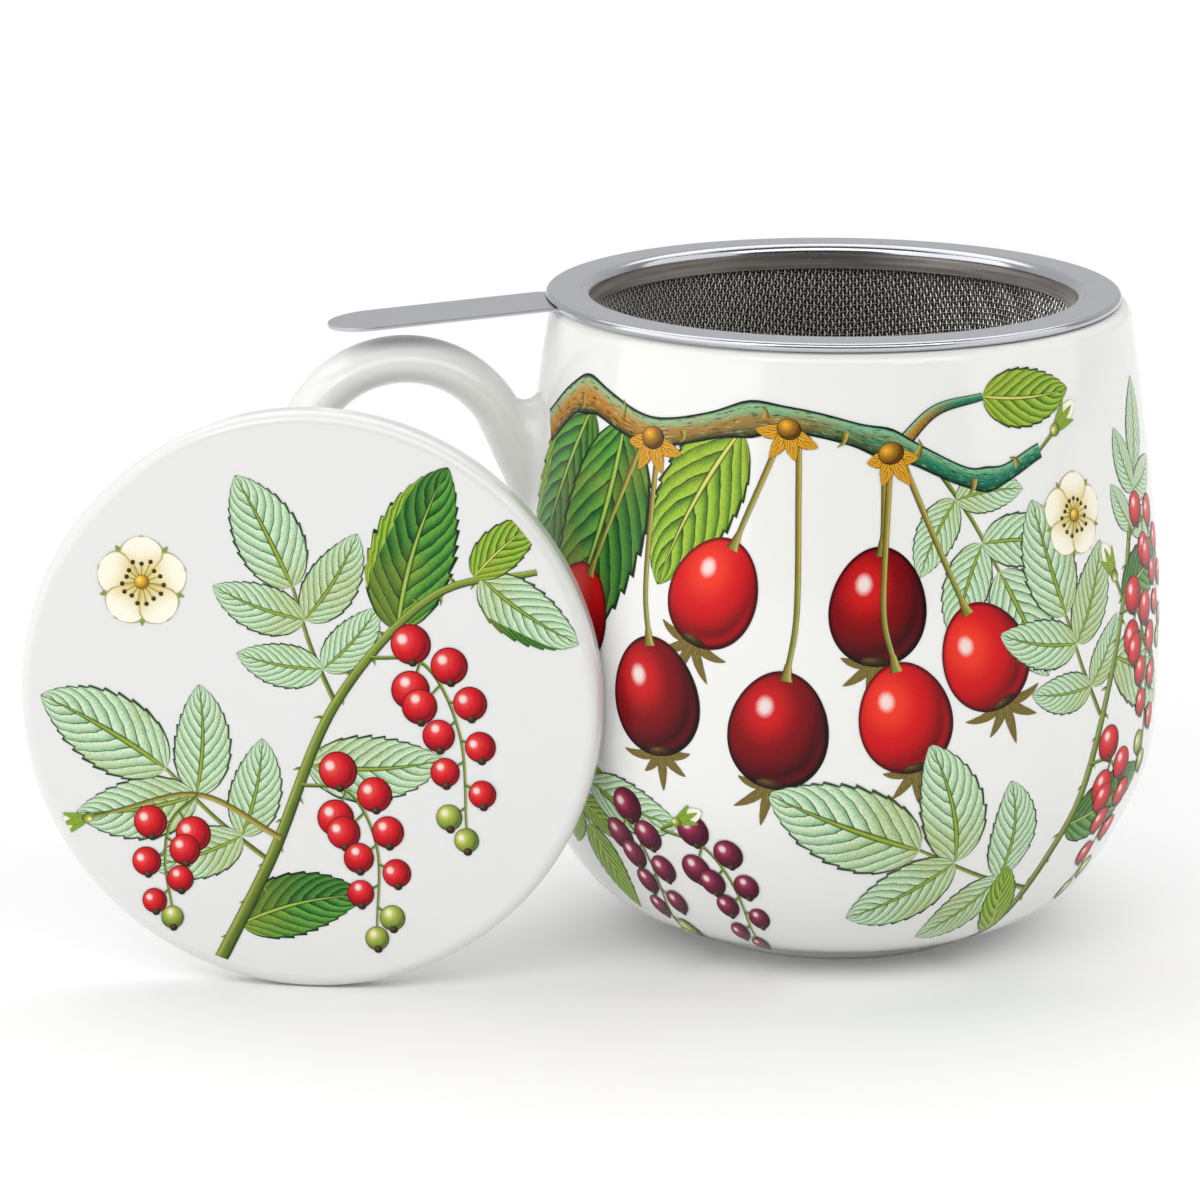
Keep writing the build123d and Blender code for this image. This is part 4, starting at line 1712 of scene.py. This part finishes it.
@dataclass
class Porcelain:
    """The glazed mug, handle and lid with their painted sprigs."""

    glaze: Glaze = field(default_factory=Glaze)
    # the lid's glaze is a shade greyer than the mug's: painted shade on the same porcelain
    lid_glaze: Glaze = field(default_factory=lambda: Glaze("lid_glaze", ink(230, 230, 228)))
    mug_seed: int = 11
    lid_seed: int = 23

    def build(self) -> list[Piece]:
        """Glazes the solids and paints them.

        Returns:
            The painted pieces.
        """
        glaze, lid_glaze = self.glaze.material(), self.lid_glaze.material()
        for node, material in (("mug_body", glaze), ("mug_handle", glaze), ("lid", lid_glaze)):
            dress_node(node, material)
        before = set(bpy.data.objects)
        palette = Palette()
        mug = Painter(MugPage(), palette, self.mug_seed)
        for paint in (self.hip_branch, self.currant_spray, self.plum_spray, self.back_sprig):
            paint(mug)
        self.lid_spray(Painter(LidPage(), palette, self.lid_seed))
        return [piece for piece in bpy.data.objects if piece not in before]

    def hip_branch(self, mug: Painter) -> None:
        """The twig across the top of the mug with its leaves and hanging hips.

        Args:
            mug: Paints on the mug.
        """
        mug.fan((15, 79), -58, 18, Tint.MINT, 0.3)
        mug.leaf((-44, 84), 240, 29, 15.5, Tint.DEEP, 14, 12, fold=-0.34, under=Tint.FRESH)
        mug.leaf((-36, 83), 264, 37, 18, Tint.DEEP, -24, 14)
        mug.leaf((-15, 84), 232, 26, 13.5, Tint.FRESH, 20, 12)
        mug.hip((-31, 83), (-43, 54), 13.5, 16.5, Tint.SCARLET, -22)
        mug.hip((-8, 85), (-18, 61), 13.5, 16.5, Tint.SCARLET, -22)
        mug.hip((9, 82), (22, 52), 13.5, 16.5, Tint.SCARLET, 24)
        mug.hip((-29, 82), (-27, 45), 14.5, 17.5, Tint.RIPE, 8)
        mug.hip((7, 82), (6, 60), 14, 17, Tint.RIPE, -4)
        mug.hip((-6, 85), (-8, 42), 14.5, 17.5, Tint.RIPE, -8)
        mug.hip((8, 82), (10, 44), 13.5, 16.5, Tint.SCARLET, 12)
        twig = [(-57, 79), (-46, 85.5), (-30, 82.5), (-10, 86), (8, 82.5), (22, 77), (33, 80)]
        mug.stalk([(9, 82), (15, 87), (23, 88.5)], Tint.TWIG, 2.2, 1.1)
        mug.leaf((23, 88.5), 350, 17, 8.5, Tint.FRESH, 16, 9)
        mug.bud((33, 80), 36, 6)
        mug.stalk(twig, Tint.TWIG, 5.0, 2.2, ((0.17, 1.4), (0.47, 1.6), (0.66, 1.4), (0.85, 1.0)))
        mug.thorns(twig, 9, 2.2, Tint.STRAW)
        mug.knuckle((-30, 81.6), 4.4, 272)
        mug.knuckle((-7.5, 84.6), 4.0, 262)
        mug.knuckle((8, 81.4), 4.2, 280)

    def currant_spray(self, mug: Painter) -> None:
        """The long stalk at the right with rose leaves, strings of red beads and blossoms.

        Args:
            mug: Paints on the mug.
        """
        stem = [(31, 1.5), (35, 12), (42, 32), (49, 52), (54, 66)]
        mug.fan((36, 14), 157, 24, Tint.MINT, 0.35)
        mug.fan((44, 40), 116, 18, Tint.MINT, 0.3)
        mug.leaf((39, 24), 4, 20, 10, Tint.DEEP, 24, 10)
        mug.leaf((47, 48), 340, 22, 11, Tint.MINT, -20, 10, fold=0.35)
        mug.fan((53, 62), 66, 13, Tint.MINT, 0.3)
        mug.thorns(stem, 22, 1.5)
        mug.stalk(stem, Tint.STALK, 1.8, 0.9)
        mug.leaf((50, 56), 24, 18, 9, Tint.DEEP, -30, 9)
        mug.currants([(49, 54), (55, 53), (59, 44), (59, 31)], 11, 5.6, Tint.BEAD, Tint.GREEN_BEAD)
        mug.currants([(42, 33), (48, 32), (51, 24), (51, 12)], 10, 5.4, Tint.BEAD, Tint.GREEN_BEAD)
        mug.currants([(53, 64), (60, 66), (65, 59), (66, 48)], 10, 5.2, Tint.BEAD, Tint.GREEN_BEAD)
        mug.leaf((33, 7), 120, 13, 6.5, Tint.FRESH, -24, 8)
        mug.blossom((39, 70), 12, 14)
        mug.bud((50, 56), 118, 6)

    def plum_spray(self, mug: Painter) -> None:
        """The sprig low at the left with olive leaves and purple beads.

        Args:
            mug: Paints on the mug.
        """
        mug.fan((-46, 36), -78, 14, Tint.FRESH, 0.3)
        mug.stalk([(-56, 50), (-48, 38), (-38, 29), (-27, 25)], Tint.STRAW, 1.4, 0.7)
        mug.leaf((-50, 41), 248, 22, 11, Tint.DEEP, -20, 9, fold=-0.3, under=Tint.FRESH)
        mug.leaf((-40, 30), 334, 17, 8.5, Tint.MINT, 26, 9)
        mug.currants([(-38, 29), (-33, 25), (-31, 16), (-33, 6)], 10, 5.4, Tint.PLUM, Tint.GREEN_BEAD)
        mug.currants([(-27, 25), (-20, 23), (-16, 16), (-15, 7)], 9, 5.2, Tint.PLUM)
        mug.bud((-27, 25), 28, 5)

    def back_sprig(self, mug: Painter) -> None:
        """A sprig by itself on the side that faces away.

        Args:
            mug: Paints on the mug.
        """
        mug.fan((132, 40), 158, 18, Tint.MINT, 0.35)
        mug.fan((140, 56), 64, 16, Tint.MINT, 0.35)
        mug.stalk([(126, 20), (130, 34), (138, 52), (150, 66)], Tint.STALK, 1.5, 0.7)
        mug.leaf((150, 66), 40, 16, 8, Tint.DEEP, -20, 9)
        mug.leaf((133, 43), 330, 18, 9, Tint.FRESH, 22, 9)
        mug.currants([(138, 52), (145, 51), (149, 43), (150, 31)], 10, 5.4, Tint.BEAD, Tint.GREEN_BEAD)
        mug.blossom((112, 66), 12, 30)

    def lid_spray(self, lid: Painter) -> None:
        """The stalk across the lid with rose leaves, beads and a blossom.

        Args:
            lid: Paints on the lid.
        """
        lid.fan((-5, -24), 139, 21, Tint.MINT, 0.3)
        lid.fan((4, 0), 110, 18, Tint.MINT, 0.3)
        lid.leaf((13, 11), 84, 25, 12.5, Tint.DEEP, -22, 12, fold=0.34, under=Tint.FRESH)
        lid.leaf((0, -9), 352, 20, 10, Tint.MINT, 24, 10)
        lid.leaf((-10, -33), 28, 19, 9.5, Tint.DEEP, -26, 10)
        stem = [(-13, -38.5), (-5, -22), (4, 0), (18, 16), (33, 20)]
        lid.thorns(stem, 22, 1.5)
        lid.stalk(stem, Tint.STALK, 2.0, 0.9)
        lid.leaf((25, 19), 316, 17, 8.5, Tint.MINT, 22, 9, fold=-0.34)
        lid.leaf((24, 19), 52, 13, 6.5, Tint.FRESH, -20, 8)
        lid.currants([(9, 7), (17, 6), (22, -4), (23, -18)], 11, 5.8, Tint.BEAD, Tint.GREEN_BEAD)
        lid.currants([(-1, -12), (6, -13), (10, -21), (10, -33)], 10, 5.6, Tint.BEAD, Tint.GREEN_BEAD)
        lid.blossom((-24, 17), 13, 18)
        lid.stalk([(-4, -20), (-16, -14), (-29, -17)], Tint.STRAW, 0.9, 0.6)
        lid.currants([(-16, -14), (-20, -18), (-21, -24), (-20, -31)], 7, 5.2, Tint.BEAD, Tint.GREEN_BEAD)
        lid.bud((-29, -17), 196, 5)


# ---------------------------------------------------------------- studio


@dataclass(frozen=True)
class PaleFloor:
    """A matt white table. What the camera sees of it directly is lifted to white outside the shadows."""

    name: str = "pale_floor"
    tone: Colour = (0.89, 0.89, 0.89)
    # painted shade: the colour of the table's far end on the camera's side, for all but the camera
    far: Colour = (0.06, 0.06, 0.06)
    lift: float = 0.05  # light that only the camera and mirrors see
    back_lift: float = 0.6  # the same at the far end, where no shadow falls
    back_edge: float = 0.25  # metres along Y where the back starts
    back_end: float = 1.6
    front_edge: float = -0.5  # metres along Y where the table starts to take the painted shade of the dark room
    front_end: float = -2.4
    far_lift: float = 0.7  # the camera's own lift towards the horizon, where the lamps don't reach
    far_edge: float = 1.1  # metres from the middle where it starts
    far_end: float = 3.0

    def material(self) -> bpy.types.Material:
        """Builds the finish: very faint clouding, the lift, and painted shade on the far end on the camera's
        side, seen only in reflections and bounced light.

        Returns:
            The material.
        """
        shader = Shader(self.name)
        x, depth, _ = shader.parts()
        path = shader.add("LightPath").outputs
        direct = Term(path["Is Camera Ray"])
        seen = direct.at_least(Term(path["Is Glossy Ray"])).at_least(Term(path["Is Transmission Ray"]))
        away = depth.rise(self.front_edge, self.front_end) * (1 - direct)
        back = depth.rise(self.back_edge, self.back_end) * (self.back_lift - self.lift) + self.lift
        far = ((x * x + depth * depth) ** 0.5).rise(self.far_edge, self.far_end)
        glow = direct * far * self.far_lift + seen * (1 - away) * back
        near = shader.blend(shader.noise(6, 2), self.tone, dimmed(self.tone, 0.99))
        shader.fix(
            Base_Color=shader.blend(away, near, self.far),
            Roughness=0.9,
            Specular_IOR_Level=0.1,
            Emission_Color=shader.blend(glow, (0.0, 0.0, 0.0), (1.0, 1.0, 1.0)),
            Emission_Strength=1.0,
        )
        return shader.material


@dataclass
class Softbox:
    """A rectangular lamp with a soft face."""

    name: str
    place: tuple[float, float, float]
    size: tuple[float, float]
    power: float
    aim: tuple[float, float, float] = (0.0, 0.0, 0.05)

    def build(self) -> Piece:
        """Hangs the lamp and points it.

        Returns:
            The lamp.
        """
        lamp = bpy.data.lights.new(self.name, "AREA")
        lamp.shape = "RECTANGLE"
        lamp.size, lamp.size_y = self.size
        lamp.energy = self.power
        piece = bpy.data.objects.new(self.name, lamp)
        bpy.context.scene.collection.objects.link(piece)
        piece.location = self.place
        piece.rotation_euler = (Vector(self.aim) - Vector(self.place)).to_track_quat("-Z", "Y").to_euler()
        return piece


@dataclass
class Studio:
    """The table, the lamps, the pale surroundings and the camera."""

    eye: tuple[float, float, float] = (-0.13024, -0.73861, 0.23814)
    heading: float = 82.693  # degrees from X, seen from above
    dip: float = 14.158  # degrees below level
    lens: float = 155.39
    sensor: float = 36.0
    surround: float = 0.045  # light from the dark end of the room, behind the camera
    tent: float = 0.56  # how much more comes from the pale end
    floor_size: float = 60.0
    floor: PaleFloor = field(default_factory=PaleFloor)
    lamps: tuple[Softbox, ...] = (
        Softbox("left_box", (-1.35, -0.45, 0.65), (2.0, 1.4), 14.0),
        Softbox("right_box", (1.3, -0.55, 0.7), (1.7, 1.4), 8.5),
        Softbox("top_box", (0.0, 0.55, 1.4), (2.4, 1.3), 12.5),
        Softbox("front_box", (-0.1, -1.35, 1.45), (2.8, 1.0), 19.5),
    )

    def build(self) -> None:
        """Sets the whole studio up."""
        self.table()
        for lamp in self.lamps:
            lamp.build()
        self.world()
        self.camera()
        bpy.context.scene.view_settings.view_transform = "Standard"

    def table(self) -> None:
        """Lays the table."""
        deselect()
        bpy.ops.mesh.primitive_plane_add(size=self.floor_size)
        piece = bpy.context.object
        piece.name = "table_top"
        piece.data.materials.append(self.floor.material())

    def world(self) -> None:
        """Surrounds the scene with white light that fades towards the camera's end of the room."""
        world = bpy.data.worlds.new("pale_room")
        world.use_nodes = True
        tree = world.node_tree
        background = tree.nodes["Background"]
        background.inputs[0].default_value = (1, 1, 1, 1)
        split = tree.nodes.new("ShaderNodeSeparateXYZ")
        tree.links.new(tree.nodes.new("ShaderNodeTexCoord").outputs["Generated"], split.inputs[0])
        strength = Term(split.outputs[1]).rise(-0.2, 0.6) * self.tent + self.surround
        tree.links.new(strength.socket, background.inputs[1])
        bpy.context.scene.world = world

    def camera(self) -> None:
        """Puts the camera up."""
        data = bpy.data.cameras.new("camera")
        data.sensor_width = self.sensor
        data.lens = self.lens
        camera = bpy.data.objects.new("camera", data)
        bpy.context.scene.collection.objects.link(camera)
        camera.location = self.eye
        heading, dip = math.radians(self.heading), math.radians(self.dip)
        level = math.cos(dip)
        ahead = Vector((math.cos(heading) * level, math.sin(heading) * level, -math.sin(dip)))
        camera.rotation_euler = ahead.to_track_quat("-Z", "Y").to_euler()
        bpy.context.scene.camera = camera


def main() -> None:
    """Builds the mug and its studio and notes the sizes."""
    logging.basicConfig(level=logging.INFO, format="%(name)s: %(message)s")
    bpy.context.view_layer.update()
    for maker in (Infuser(), Porcelain()):
        for piece in maker.build():
            log.info("%s: %d faces", piece.name, len(piece.data.polygons))
    Studio().build()


if __name__ == "__main__":
    main()
